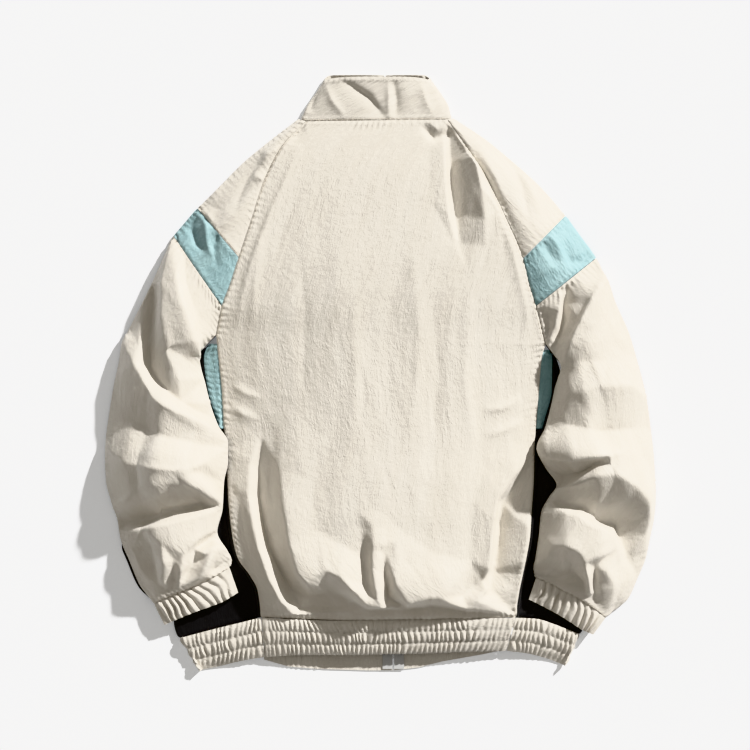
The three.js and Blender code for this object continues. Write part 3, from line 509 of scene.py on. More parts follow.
def closure_x(y):
    share = (y - CLOSURE["hem_y"]) / (CLOSURE["top_y"] - CLOSURE["hem_y"])
    return lerp(CLOSURE["hem_x"], CLOSURE["top_x"], share)


def lift_over_slider(x, y):
    across = 1 - smoothstep(*SLIDER_SIDES, np.abs(x - SLIDER_X))
    above = 1 - smoothstep(*SLIDER_ABOVE, y)
    return SLIDER_ROOM * across * smoothstep(*SLIDER_BELOW, y) * above


NECK_LINE = [OUTER_LEFT, RAGLAN_LEFT, RAGLAN_RIGHT, OUTER_RIGHT]


def back_neck(x):
    return np.interp(x, [rows["x"][0] for rows in NECK_LINE], [rows["y"][0] for rows in NECK_LINE])


def front_neck(x):
    """Front neck seam, which hangs in a curve between the ends of the back one."""
    end = np.where(x < SLIDER_X, RAGLAN_LEFT["x"][0], RAGLAN_RIGHT["x"][0])
    t = np.clip((x - SLIDER_X) / (end - SLIDER_X), 0, 1)
    return back_neck(x) - NECK_DROP * (1 - t * t)


def front_point(side, v, u):
    hand = side["hand"]
    below = along(side["fold"], "front_x", v - UNDERARM)
    edge_x = np.where(v > UNDERARM, below, back_edge(side, v, "x"))
    edge_y = back_edge(side, v, "y")
    neck_x, neck_y = side["raglan"]["x"][0], side["raglan"]["y"][0]
    x = lerp(edge_x - hand * SEAM / 2, closure_x(edge_y) + hand * ZIP_GAP / 2, u)
    at_neck = lerp(neck_x, closure_x(neck_y), u)
    drop = (neck_y - front_neck(at_neck)) * np.maximum(0, 1 - v / 4)
    hem = np.maximum(0, v - BACK_LAST + 1)
    hem_drop = (edge_y - look_up(FRONT_HEM, "x", "top", x) - SEAM) * hem
    y = edge_y - drop - hem_drop
    return np.stack([x, y, lift_over_slider(x, y)], -1)


# Noise, the same in every run

LATTICE = 256


def noise(x, y, seed):
    """Smooth noise from 0 to 1 with one cell a unit."""
    lattice = np.random.default_rng(seed).random((LATTICE, LATTICE))
    i, j = np.floor(x).astype(int), np.floor(y).astype(int)
    f, g = x - i, y - j
    f, g = f * f * (3 - 2 * f), g * g * (3 - 2 * g)

    def corner(di, dj):
        return lattice[(i + di) % LATTICE, (j + dj) % LATTICE]

    low = lerp(corner(0, 0), corner(1, 0), f)
    high = lerp(corner(0, 1), corner(1, 1), f)
    return lerp(low, high, g)


# Cells of the crinkle, across the cloth and along it
BEND_REACH = 6
BEND_CELL = (26, 30)
BROAD_CELL = (17, 60)
RIDGE_CELL = (9, 42)


def crinkle(across, down, seed):
    """Relief of the crinkled nylon, about -1 to 1, longer along the grain."""
    bend = BEND_REACH * noise(across / BEND_CELL[0], down / BEND_CELL[1], seed + 1)
    broad = noise((across + bend) / BROAD_CELL[0], down / BROAD_CELL[1], seed + 2)
    fine = noise((across + bend) / RIDGE_CELL[0], (down + bend) / RIDGE_CELL[1], seed + 3)
    ridges = 1 - np.abs(2 * fine - 1)
    return 0.9 * (broad - 0.5) + 0.6 * (ridges - 0.6)


# Creases follow a line of photo pixels. left and right are how wide they fall
# off on each side of the direction of travel; a negative height is a valley.

def crease(height, left, right, *line):
    return {"height": height, "left": left, "right": right, "line": [photo(*p) for p in line]}


def crease_height(creases, x, y):
    total = np.zeros_like(x)
    for item in creases:
        line = np.array(item["line"])
        runs = np.linalg.norm(np.diff(line, axis=0), axis=1)
        best = np.full(x.shape, np.inf)
        at = np.zeros_like(x)
        side = np.zeros_like(x)
        for k, run in enumerate(runs):
            (x1, y1), (x2, y2) = line[k], line[k + 1]
            dx, dy = (x2 - x1) / run, (y2 - y1) / run
            t = np.clip((x - x1) * dx + (y - y1) * dy, 0, run)
            distance = np.hypot(x - x1 - t * dx, y - y1 - t * dy)
            nearer = distance < best
            best = np.where(nearer, distance, best)
            at = np.where(nearer, runs[:k].sum() + t, at)
            side = np.where(nearer, (y - y1) * dx - (x - x1) * dy, side)
        width = np.where(side > 0, item["left"], item["right"])
        distance = np.hypot(best, 1.2) - 1.2
        profile = np.exp(-((distance / width) ** 1.15))
        share = np.clip(at / runs.sum(), 0, 1)
        total += item["height"] * np.maximum(np.sin(math.pi * share), 0) ** 0.9 * profile
    return total


BACK_CREASES = [
    crease(2.6, 4, 6, (232, 384), (248, 394), (262, 398)),
    crease(2.6, 4, 6, (230, 404), (244, 414), (260, 420)),
    crease(3, 6, 5, (522, 398), (502, 408), (482, 410)),
    crease(3, 6, 5, (524, 420), (504, 430), (484, 436)),
    crease(-6, 7, 4, (420, 124), (434, 138), (448, 134), (462, 124)),
    crease(3, 6, 5, (426, 122), (438, 129), (452, 124)),
    crease(-4, 5, 6, (276, 142), (290, 132), (306, 127)),
    crease(4, 4, 7, (262, 176), (276, 150), (296, 138)),
    crease(2.6, 7, 3.5, (300, 140), (290, 170), (272, 210), (252, 262), (242, 300), (236, 340)),
    crease(2.6, 4, 7, (462, 142), (476, 170), (494, 206), (512, 250), (524, 300), (530, 340)),
    crease(1.6, 7, 5, (262, 230), (256, 280), (252, 330)),
    crease(-1.6, 10, 7, (300, 240), (306, 330), (300, 420)),
    crease(1.6, 10, 9, (352, 280), (356, 380), (346, 480)),
    crease(1.6, 9, 8, (412, 240), (420, 340), (410, 440)),
    crease(-1.8, 9, 8, (432, 290), (438, 380), (430, 470)),
    crease(1.8, 9, 8, (470, 290), (464, 380), (474, 460)),
    crease(2.4, 4, 4, (346, 592), (350, 606), (348, 618)),
    crease(2.4, 4, 4, (424, 604), (428, 612), (426, 622)),
    crease(2.4, 4, 4, (464, 604), (468, 612), (466, 622)),
]
LEFT_CREASES = [
    crease(-3.4, 3, 5, (301, 132), (292, 152), (276, 184), (258, 218), (242, 252), (232, 282)),
    crease(3, 5, 3.5, (262, 166), (268, 156), (276, 150), (286, 150)),
    crease(3, 5, 3.5, (252, 176), (262, 180), (268, 176)),
    crease(2.6, 8, 6, (234, 160), (219, 184), (209, 206)),
    crease(-3.4, 6, 7, (264, 152), (246, 180), (233, 214)),
    crease(-4.5, 7, 4, (196, 216), (190, 228), (196, 244), (207, 254)),
    crease(4, 5, 4, (214, 208), (206, 224), (208, 244), (216, 262)),
    crease(-3, 4, 4, (222, 226), (214, 246), (218, 270)),
]
RIGHT_CREASES = [
    crease(-3.4, 4, 3, (468, 142), (482, 168), (500, 204), (514, 240), (524, 272), (530, 300)),
    crease(3, 5, 7, (478, 150), (494, 176), (507, 206)),
    crease(3, 7, 6, (512, 158), (530, 188), (541, 214)),
    crease(-3.6, 7, 6, (506, 150), (522, 184), (530, 226)),
    crease(-4, 7, 5, (560, 242), (572, 262), (584, 262), (596, 246)),
    crease(-3.6, 6, 5, (536, 236), (548, 252), (560, 270)),
    crease(3, 4, 4, (546, 232), (558, 248), (566, 262)),
    crease(2.4, 5, 5, (534, 280), (548, 270), (570, 260)),
]


# Folded cloth: flat facets between lines of creases. Each point is a photo
# pixel and its height in millimetres over the smooth form.

FACET_GAIN = 1.55

LEFT_FACETS = [
    [(176, 241, 0), (190, 259, 0), (205, 281, 0), (220, 303, 0)],
    [(174, 240, 1), (181, 276, 9), (188, 310, 13), (194, 340, 13), (203, 374, 9), (209, 404, 4)],
    [(186, 282, 2), (195, 312, 3), (201, 338, 3), (208, 370, 1)],
    [(171, 250, 4), (168, 286, 11), (167, 320, 12), (169, 350, 11), (178, 380, 6)],
    [(151, 288, -3), (149, 312, -6), (148, 345, -6), (149, 366, -6), (158, 380, -5),
     (170, 391, -4), (184, 402, -3), (200, 412, -3), (212, 419, -2)],
    [(144, 300, 2), (143, 322, 2), (142, 346, 2), (143, 364, 3)],
    [(125, 344, 3), (138, 361, 7), (151, 384, 7), (163, 399, 8), (178, 410, 8), (194, 419, 7),
     (211, 430, 5), (226, 440, 1)],
    [(116, 400, 0), (135, 420, 0), (160, 434, 0), (185, 440, 0), (205, 444, 0)],
    [(111, 450, 4), (131, 461, 9), (153, 464, 12), (184, 467, 12), (205, 461, 6), (228, 447, 0)],
    [(186, 470, 12), (197, 481, 12), (210, 495, 9), (221, 507, 3)],
    [(200, 472, 3), (212, 486, 3), (224, 500, 1)],
    [(114, 506, 3), (137, 495, 8), (153, 487, 9), (171, 480, 9)],
    [(121, 526, -4), (145, 520, -10), (171, 513, -11), (205, 505, -7)],
    [(119, 532, 0), (145, 528, 4), (171, 521, 5), (205, 511, 4), (222, 511, 1)],
    [(134, 548, 2), (142, 566, 3), (150, 580, 1)],
    [(150, 545, -3), (152, 566, -5), (158, 583, -2)],
    [(165, 541, 4), (167, 560, 5), (163, 581, 1)],
    [(176, 560, -1), (174, 578, -4), (172, 590, -2)],
    [(186, 552, 3), (182, 570, 4), (180, 586, 1)],
    [(197, 540, 4), (208, 533, 4), (215, 530, 2)],
    [(198, 547, -5), (207, 541, -6), (216, 535, -3)],
    [(203, 553, 5), (214, 548, 6), (226, 550, 3)],
    [(190, 571, -5), (196, 562, -6), (202, 558, -3)],
    [(198, 577, 4), (205, 566, 5)],
    [(208, 580, -3), (216, 571, -4), (226, 563, -3)],
    [(218, 578, 3), (226, 571, 3)],
]
RIGHT_FACETS = [
    [(540, 306, 0), (556, 293, 0), (575, 279, 0), (592, 267, 0)],
    [(600, 268, 4), (603, 281, 9), (596, 290, 12), (590, 304, 13), (581, 324, 13), (573, 340, 11),
     (564, 366, 5), (557, 392, 1)],
    [(567, 288, -5), (565, 302, -8), (564, 318, -9), (559, 334, -7), (554, 346, -3)],
    [(560, 296, 2), (559, 310, 3), (556, 324, 3), (550, 338, 1)],
    [(548, 316, -2), (547, 330, -3)],
    [(606, 300, 6), (600, 330, 4), (590, 360, 2)],
    [(624, 320, -1), (614, 345, -3), (606, 361, -2)],
    [(572, 394, 2), (600, 386, 6), (628, 386, 6), (645, 398, 3)],
    [(562, 424, -2), (600, 431, -5), (632, 429, -4), (646, 426, -2)],
    [(538, 449, 4), (550, 455, 9), (575, 455, 13), (600, 455, 11), (618, 452, 6), (640, 455, 3)],
    [(549, 477, -4), (558, 481, -8), (572, 475, -10), (586, 467, -9), (597, 461, -4)],
    [(552, 494, 2), (561, 488, 4), (575, 481, 5), (590, 473, 6), (603, 464, 7), (613, 474, 11),
     (630, 487, 13), (641, 500, 12), (646, 516, 7), (645, 534, 3)],
    [(556, 500, -4), (566, 504, -7), (580, 507, -10), (589, 514, -11), (602, 519, -12),
     (618, 526, -12), (624, 541, -10), (627, 557, -4)],
    [(556, 507, 1), (566, 511, 2), (579, 514, 2), (587, 521, 2), (600, 526, 2), (611, 533, 2),
     (617, 546, 2), (620, 562, 1)],
    [(546, 545, 3), (556, 545, 7), (567, 545, 9), (577, 550, 9), (583, 560, 8), (587, 575, 6),
     (589, 592, 2)],
    [(551, 573, -3), (560, 574, -6), (570, 573, -8), (580, 581, -7), (584, 594, -3)],
    [(592, 566, -3), (593, 582, -7), (594, 598, -4)],
    [(602, 568, 4), (609, 582, 6), (609, 600, 3)],
    [(538, 563, 3), (546, 558, 3)],
    [(540, 570, -3), (548, 566, -3)],
]
BACK_FACETS = [
    [(262, 436, -1), (257, 470, -8), (257, 495, -11), (262, 520, -12), (268, 545, -13),
     (279, 572, -13), (289, 592, -11), (300, 610, -5)],
    [(278, 430, 1), (281, 470, 3), (286, 510, 5), (292, 545, 6), (300, 570, 8), (309, 580, 8),
     (320, 572, 7), (328, 568, 7), (341, 573, 8), (356, 588, 9), (368, 600, 9), (377, 595, 7)],
    [(251, 462, 2), (251, 495, 4), (256, 522, 5), (262, 548, 5), (272, 575, 6), (283, 597, 6),
     (295, 613, 3)],
    [(240, 500, 1), (246, 540, 1), (258, 580, 1), (268, 606, 1)],
    [(310, 597, -5), (330, 592, -6), (348, 600, -5), (366, 609, -3)],
    [(350, 520, 0), (360, 512, 0), (372, 508, 0), (384, 512, 0), (396, 524, 0)],
    [(373, 524, 2), (374, 545, 4), (375, 564, 6), (379, 590, 8), (383, 603, 6)],
    [(364, 530, -1), (363, 556, -3), (367, 584, 0)],
    [(384, 552, 0), (387, 578, -5), (388, 598, -6)],
    [(396, 540, 2), (394, 580, 6), (407, 599, 8), (427, 594, 8), (440, 595, 8), (452, 599, 7)],
    [(408, 610, -4), (430, 608, -5), (450, 610, -4)],
    [(462, 596, -3), (474, 588, -4), (484, 580, -2)],
    [(466, 606, 5), (476, 597, 6), (486, 590, 5)],
    [(536, 452, -1), (517, 482, -7), (502, 502, -10), (499, 522, -12), (497, 545, -12),
     (494, 570, -11), (491, 590, -7)],
    [(512, 477, 3), (497, 499, 5), (493, 522, 6), (491, 545, 6), (488, 568, 5)],
    [(541, 474, 2), (533, 500, 5), (530, 530, 6), (525, 560, 6), (520, 594, 4)],
    [(448, 134, -2), (450, 160, -7), (451, 185, -7), (454, 215, -6), (458, 244, -1)],
    [(443, 134, 1), (445, 160, 2), (446, 185, 2), (449, 215, 2), (454, 246, 0)],
    [(464, 134, 4), (474, 158, 8), (480, 190, 8), (484, 220, 6), (485, 246, 1)],
    [(430, 140, 0), (430, 200, 0), (440, 272, 0), (470, 276, 0), (500, 262, 0), (496, 215, 2)],
    [(300, 330, 0), (340, 300, 0), (400, 300, 0), (460, 300, 0), (500, 330, 0), (500, 420, 0)],
    [(300, 420, 0), (330, 440, 0), (380, 470, 0), (430, 440, 0), (480, 430, 0), (485, 470, 0)],
    [(312, 480, 0), (318, 530, 0), (345, 545, 0)],
    [(420, 500, 0), (430, 550, 0), (470, 560, 0), (472, 500, 0)],
    [(242, 360, 0), (250, 400, 0), (268, 410, 0), (286, 400, 0)],
    [(512, 360, 0), (520, 410, 0), (510, 440, 0)],
]


def facet_height(lines, outline, x, y):
    """Height of the facets that join fold lines to each other and to an outline."""
    lines = [[(*photo(px, py), height) for px, py, height in line] for line in lines]
    lines.append([(px, py, 0) for px, py in [*outline, outline[0]]])
    spots, links = [], []
    for line in lines:
        links += [(len(spots) + k, len(spots) + k + 1) for k in range(len(line) - 1)]
        spots += line
    flat = [Vector(spot[:2]) for spot in spots]
    corners, _, faces, sources, _, _ = delaunay_2d_cdt(flat, links, [], 0, 0.01)
    heights = [spots[found[0]][2] if found else 0 for found in sources]
    total = np.zeros_like(x)
    for a, b, c in faces:
        (ax, ay), (bx, by), (cx, cy) = corners[a], corners[b], corners[c]
        area = (bx - ax) * (cy - ay) - (cx - ax) * (by - ay)
        if abs(area) < 1e-6:
            continue
        share_b = ((x - ax) * (cy - ay) - (cx - ax) * (y - ay)) / area
        share_c = ((bx - ax) * (y - ay) - (x - ax) * (by - ay)) / area
        inside = (share_b >= 0) & (share_c >= 0) & (share_b + share_c <= 1)
        height = heights[a] * (1 - share_b - share_c) + heights[b] * share_b + heights[c] * share_c
        total = np.where(inside, height, total)
    return FACET_GAIN * total


def rounded(height, passes):
    """Heights on a grid with their sharpest edges worn off."""
    for _ in range(passes):
        for axis in (0, 1):
            padded = np.concatenate([height.take([0], axis), height, height.take([-1], axis)], axis)
            low, high = (padded.take(range(k, k + height.shape[axis]), axis) for k in (0, 2))
            height = (low + 2 * height + high) / 4
    return height


def outline_of(edges):
    """Corners of a piece in order, from the tables of its two edges."""
    first, second = edges
    points = [*zip(*first), *list(zip(*second))[::-1]]
    return [(float(px), float(py)) for px, py in points]


def back_outline():
    rows = np.arange(0, BACK_LAST + 1.0)
    edges = [[back_edge(side, rows, name) for name in "xy"] for side in (LEFT, RIGHT)]
    return outline_of(edges)


def sleeve_outline(side):
    rows = np.arange(BAND_TO, SLEEVE_LAST + 0.5)
    outer = [along(side["outer"], name, rows) for name in "xy"]
    inner = [sleeve_inner(side, rows, name) for name in "xy"]
    return outline_of([outer, inner])


# Shells of cloth on grids of points

def spacing_stations(line, low, high, spacing, close=True):
    """Stations evenly spaced in millimetres along a line of points, closer at its ends."""
    gaps = np.linalg.norm(np.diff(line, axis=0), axis=1)
    run = np.concatenate([[0], np.cumsum(gaps)])
    total = run[-1]
    inner = EDGE_STEPS[-1] if close else 0.0
    count = max(1, round((total - 2 * inner) / spacing))
    places = np.linspace(inner, total - inner, count + 1)
    if close:
        steps = np.array(EDGE_STEPS[:-1])
        places = np.concatenate([steps, places, (total - steps)[::-1]])
    return np.interp(places, run, np.linspace(low, high, len(line)))


def grid_of(point, low, high, spacing):
    """Points of a surface between two rows, at about the same spacing both ways."""
    fine = 400
    v, u = np.meshgrid(np.linspace(low, high, fine), [0.2, 0.5, 0.8], indexing="ij")
    rows = spacing_stations(point(v, u)[:, 1], low, high, spacing)
    v, u = np.meshgrid(np.linspace(low, high, 9), np.linspace(0, 1, fine), indexing="ij")
    lines = point(v, u)
    widest = max(range(9), key=lambda k: np.linalg.norm(lines[k, -1] - lines[k, 0]))
    columns = spacing_stations(lines[widest], 0, 1, spacing)
    v, u = np.meshgrid(rows, columns, indexing="ij")
    return point(v, u)


def slopes(points, axis, closed=False):
    if closed:
        return np.roll(points, -1, axis) - np.roll(points, 1, axis)
    return np.gradient(points, axis=axis)


def normals(points, up, closed=False):
    """Outward normals; up is the sign of their z over the highest column."""
    found = np.cross(slopes(points, 0), slopes(points, 1, closed))
    length = np.linalg.norm(found, axis=2, keepdims=True)
    found = found / np.maximum(length, 1e-9)
    highest = np.argmax(points[..., 2].mean(axis=0))
    return found * up * (1 if found[:, highest, 2].sum() > 0 else -1)


def edge_distances(points, closed=False):
    """Distance in millimetres of each point from the left, right, first and last edge."""
    across = np.linalg.norm(np.diff(points, axis=1), axis=2)
    down = np.linalg.norm(np.diff(points, axis=0), axis=2)
    left = np.pad(np.cumsum(across, axis=1), ((0, 0), (1, 0)))
    first = np.pad(np.cumsum(down, axis=0), ((1, 0), (0, 0)))
    far = np.full(points.shape[:2], 1e3)
    right = left[:, -1:] - left
    last = first[-1:] - first
    return (far, far, first, last) if closed else (left, right, first, last)


PUCKER_PITCH = 7.5
PUCKER_HEIGHT = 0.9
PUCKER_REACH = 11.0
SEAM_DIP = 0.3
SEAM_DIP_WIDTH = 1.1
ALLOWANCE_RISE = 0.5
ALLOWANCE_AT = 4.2
ALLOWANCE_WIDTH = 2.6


def seam_relief(points, sewn, pucker):
    """A seam's dip, the raised allowance beside it, and its puckers."""
    distances = edge_distances(points)
    x, y = points[..., 0], points[..., 1]
    total = np.zeros_like(x)
    for k, (distance, is_sewn) in enumerate(zip(distances, sewn)):
        if is_sewn:
            run = distances[2] if k < 2 else distances[0]
            drift = 7 * noise(run / 26, distance / 14, 71 + k)
            ripple = np.sin(2 * math.pi * run / PUCKER_PITCH + drift)
            uneven = 0.25 + 1.1 * noise(x / 24, y / 24, 73)
            held = smoothstep(0, 3, distance) * np.exp(-((distance / PUCKER_REACH) ** 1.6))
            total += -SEAM_DIP * np.exp(-((distance / SEAM_DIP_WIDTH) ** 2))
            total += ALLOWANCE_RISE * np.exp(-(((distance - ALLOWANCE_AT) / ALLOWANCE_WIDTH) ** 2))
            total += pucker * PUCKER_HEIGHT * ripple * uneven * held
    return total


def near_edges(points, reach):
    distances = edge_distances(points)
    nearest = np.minimum.reduce(distances)
    return smoothstep(0, reach, nearest)


def mesh_object(name, points, faces, material, smooth_angle=65):
    mesh = bpy.data.meshes.new(name)
    mesh.from_pydata((np.asarray(points) * MM).tolist(), [], np.asarray(faces).tolist())
    mesh.shade_smooth()
    mesh.set_sharp_from_angle(angle=math.radians(smooth_angle))
    mesh.materials.append(material)
    mesh.validate()
    thing = bpy.data.objects.new(name, mesh)
    bpy.context.scene.collection.objects.link(thing)
    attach(thing, "jacket")
    return thing


def shell_faces(rows, cols, closed=False):
    """Faces of a closed wall: outer grid, inner grid and the rims between them."""
    index = np.arange(rows * cols).reshape(rows, cols)
    if closed:
        index = np.concatenate([index, index[:, :1]], axis=1)
    a, b = index[:-1, :-1], index[:-1, 1:]
    c, d = index[1:, 1:], index[1:, :-1]
    outer = np.stack([a, b, c, d], -1).reshape(-1, 4)
    inner = outer[:, ::-1] + rows * cols
    faces = [outer, inner]
    lines = [index[0], index[-1][::-1]]
    if not closed:
        lines += [index[:, -1], index[::-1, 0]]
    for line in lines:
        here, there = line[:-1], line[1:]
        rim = np.stack([there, here, here + rows * cols, there + rows * cols], -1)
        faces.append(rim)
    return np.concatenate(faces)


def shell(name, outer, inner, material, closed=False):
    """A thin closed wall between two grids of points, with its faces pointing out."""
    rows, cols = outer.shape[:2]
    faces = shell_faces(rows, cols, closed)
    points = np.concatenate([outer.reshape(-1, 3), inner.reshape(-1, 3)])
    across = slopes(outer, 1, closed)
    facing = np.cross(across, slopes(outer, 0)) * (outer - inner)
    if facing.sum() > 0:
        faces = faces[:, ::-1]
    return mesh_object(name, points, faces, material)


# Cloth pieces. The cut is each piece's flat width, length and area in metres before
# it was sewn and gathered, and then what it lies on.

def cut(width, length, area, *under):
    return {"flat": (width, length), "area": area, "under": under}


CUTS = {
    "back_panel": cut(0.44, 0.66, 0.250, "front_panel_left", "front_panel_right"),
    "collar": cut(0.40, 0.12, 0.028, "floor"),
    "waistband_back": cut(0.46, 0.053, 0.0244, "waistband_front_left", "front_tab_left",
                          "front_tab_right", "waistband_front_right"),
}
SIDED_CUTS = {
    "sleeve_back_upper": cut(0.085, 0.18, 0.0095, "sleeve_front_upper"),
    "sleeve_back_band": cut(0.11, 0.06, 0.0060, "sleeve_front_band"),
    "sleeve_back_lower": cut(0.20, 0.50, 0.075, "sleeve_front_lower"),
    "sleeve_front_upper": cut(0.08, 0.18, 0.0078, "floor"),
    "sleeve_front_band": cut(0.10, 0.06, 0.0054, "floor"),
    "sleeve_front_lower": cut(0.17, 0.49, 0.054, "floor"),
    "side_insert": cut(0.022, 0.11, 0.0018, "side_panel"),
    "side_panel": cut(0.15, 0.38, 0.048, "floor"),
    "front_panel": cut(0.22, 0.67, 0.115, "floor"),
    "front_tab": cut(0.10, 0.062, 0.0045, "floor"),
    "waistband_side": cut(0.24, 0.054, 0.0128, "floor"),
    "waistband_front": cut(0.10, 0.054, 0.0052, "floor"),
    "cuff": cut(0.26, 0.038, 0.0098, "side_panel"),
    "zip_tape": cut(0.0135, 0.775, 0.0104, "front_panel"),
}
SURFACES = {}
GRAIN = "grain"


def add_grain(thing, outer):
    """Places across and along the cloth, in metres, that its material follows."""
    across = np.linalg.norm(np.diff(outer, axis=1), axis=2)
    down = np.linalg.norm(np.diff(outer, axis=0), axis=2)
    across = np.pad(np.cumsum(across, axis=1), ((0, 0), (1, 0)))
    down = np.pad(np.cumsum(down, axis=0), ((1, 0), (0, 0)))
    grain = np.stack([across, down, 0 * down], -1).reshape(-1, 3) * MM
    layer = thing.data.attributes.new(GRAIN, "FLOAT_VECTOR", "POINT")
    layer.data.foreach_set("vector", np.concatenate([grain, grain]).ravel())


def cloth(node, grid, material, up, relief, sewn=(1, 1, 1, 1), pucker=1.0, closed=False):
    """A shell on a grid, raised by its relief, that stands for one solid."""
    outward = normals(grid, up, closed)
    if not closed:
        relief = relief + seam_relief(grid, sewn, pucker)
    outer = grid + outward * relief[..., None]
    outer[..., 2] = np.maximum(outer[..., 2], 0)
    facing = normals(outer, up, closed)
    inner = outer - facing * CLOTH
    low = inner[..., 2] < 0
    inner[..., 2] = np.where(low, 0, inner[..., 2])
    thing = shell(f"cloth_{node}", outer, inner, material, closed)
    add_grain(thing, outer)
    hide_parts(node)
    SURFACES[node] = (outer, facing)
    return thing


def resting(grid):
    """Heights of small waves in cloth that lies on the floor."""
    x, y = grid[..., 0], grid[..., 1]
    waves = noise(x / 19, y / 27, 41) * noise(x / 9, y / 13, 42)
    return -1.1 * waves * near_edges(grid, 8)


def worn(grid, creases, seed, height=0.8, facets=(), outline=()):
    """Relief of a piece that shows: the crinkle of its cloth, its creases and its folds."""
    across, _, down, _ = edge_distances(grid)
    x, y = grid[..., 0], grid[..., 1]
    grain = crinkle(across, down, seed) * height * near_edges(grid, 4)
    folds = crease_height(creases, x, y) * near_edges(grid, 5)
    if facets:
        folds = folds + rounded(facet_height(facets, outline, x, y), 1) * near_edges(grid, 7)
    return grain + folds


def add_sleeve(side):
    label = side["label"]
    creases = LEFT_CREASES if side is LEFT else RIGHT_CREASES
    parts = [
        ("upper", 0, BAND_FROM, CREAM, CREAM, "cream_nylon", "cream_nylon"),
        ("band", BAND_FROM, BAND_TO, BLUE, BLUE, "blue_nylon", "blue_nylon"),
        ("lower", BAND_TO, SLEEVE_LAST, CREAM, BLACK, "cream_nylon", "black_nylon"),
    ]
    for k, (part, low, high, top, bottom, top_slot, bottom_slot) in enumerate(parts):
        low = low + (PIECE_END if low else 0)
        high = high - PIECE_END
        grid = grid_of(lambda v, u: sleeve_top(side, v, u), low, high, FINE)
        folded = part == "lower"
        facets = LEFT_FACETS if side is LEFT else RIGHT_FACETS
        relief = worn(grid, creases, 100 + 10 * k + side["hand"], 0.8,
                      facets if folded else (), sleeve_outline(side))
        cloth(f"sleeve_back_{part}_{label}", grid, top, 1, relief)
        grid = grid_of(lambda v, u: sleeve_bottom(side, v, u), low, high, COARSE)
        cloth(f"sleeve_front_{part}_{label}", grid, bottom, -1, resting(grid), pucker=0)


def add_back():
    grid = grid_of(back_point, 0, BACK_LAST - PIECE_END, FINE)
    relief = worn(grid, BACK_CREASES, 200, 0.8, BACK_FACETS, back_outline())
    cloth("back_panel", grid, CREAM, 1, relief)


def add_insert(side):
    low, high = UNDERARM + INSERT_FROM, UNDERARM + INSERT_ROWS
    grid = grid_of(lambda v, u: insert_point(side, v, u), low, high, FINE)
    relief = worn(grid, [], 300 + side["hand"])
    cloth(f"side_insert_{side['label']}", grid, BLUE, 1, relief)


def section_grid(section_at, low, high, spacing, close=True):
    """Grid of a piece that is drawn by its sections, one at each row."""
    rough = np.linspace(low, high, 160)
    middle = np.array([section_at(v) for v in rough])
    longest = max(range(middle.shape[1]), key=lambda k: np.ptp(middle[:, k, 1]))
    rows = spacing_stations(middle[:, longest], low, high, spacing, close)
    sections = np.array([section_at(v) for v in rows])
    lengths = np.linalg.norm(np.diff(sections, axis=1), axis=2).sum(axis=1)
    line = np.stack([np.linspace(0, lengths.max(), 400), np.zeros(400)], -1)
    share = spacing_stations(line, 0, 1, spacing, close)
    return through(sections, share)


def add_side_panel(side):
    low, high = UNDERARM + INSERT_FROM, BACK_LAST - PIECE_END
    grid = section_grid(lambda v: side_panel_section(side, v), low, high, 3.0)
    relief = worn(grid, [], 400 + side["hand"], 0.7)
    relief = np.where(grid[..., 2] < 2, 0, relief)
    cloth(f"side_panel_{side['label']}", grid, BLACK, 1, relief, pucker=0.6)


def add_front(side):
    grid = grid_of(lambda v, u: front_point(side, v, u), 0, BACK_LAST - PIECE_END, COARSE)
    cloth(f"front_panel_{side['label']}", grid, CREAM, -1, resting(grid), pucker=0)


# Gathers

GATHER_PITCH = 6.6
GATHER_DEPTH = 1.6
CUFF_WIDTH = 104.0
CUFF_PITCH = 9.5
CUFF_DEPTH = 2.5
CUFF_FALL = 0.3
BAND_FALL = 10.0


def gathers(along_mm, v, tunnels, pitch, seed):
    """Uneven gathers of a shirred band, pinched at its rows of stitching."""
    row = np.floor(np.clip(v, 0, 0.999) * tunnels)
    inside = v * tunnels - row
    wander = 6 * noise(along_mm / (2.4 * pitch), row * 5 + v * 2.2, seed)
    lean = 9 * (noise(along_mm / (4 * pitch), row * 7, seed + 1) - 0.5) * (inside - 0.5)
    wave = 2 * np.abs(np.sin(math.pi * along_mm / pitch + (wander + lean) / 2)) - 1.2
    size = 0.3 + 1.2 * noise(along_mm / (1.2 * pitch), row * 3 + v * 2, seed + 2)
    puff = np.maximum(np.sin(math.pi * inside), 0) ** 0.6
    return wave * size * (0.5 + 0.5 * puff) + 0.9 * (puff - 0.7)


def band_drop(v):
    """How a band's middle puffs up and its free edge hangs lower."""
    return 1.5 * np.sin(math.pi * v) - BAND_FALL * v ** 1.3


def ring_section(side, v):
    """A cuff's outline at a share of its length, above and then below."""
    last = len(side["cuff"]["top_x"]) - 1
    over, under = np.linspace(0, 1, 90), np.linspace(0.985, 0.015, 24)
    t = np.concatenate([over, under])
    x = lerp(along(side["cuff"], "top_x", t * last), along(side["cuff"], "bottom_x", t * last), v)
    y = lerp(along(side["cuff"], "top_y", t * last), along(side["cuff"], "bottom_y", t * last), v)
    base = sleeve_underside(side, np.full(t.shape, float(SLEEVE_LAST)), x, y)
    height = np.where(np.arange(len(t)) < len(over), lerp(CUFF_TOP * 0.45, CUFF_TOP, dome(t)), 0)
    height = height * (1 - CUFF_FALL * v)
    return np.stack([x, y, base + height], -1), t, len(over)


def add_cuff(side):
    rows = np.linspace(0, 1, 15)
    grid = np.array([ring_section(side, v)[0] for v in rows])
    _, t, over = ring_section(side, 0)
    v = np.broadcast_to(rows[:, None], grid.shape[:2])
    run = np.broadcast_to(t * CUFF_WIDTH, grid.shape[:2])
    relief = CUFF_DEPTH * gathers(run, v, 1, CUFF_PITCH, 500 + side["hand"]) * at_edges(t)
    relief = np.where(np.arange(len(t)) < over, relief, 0)
    cloth(f"cuff_{side['label']}", grid, CREAM, 1, relief, closed=True)


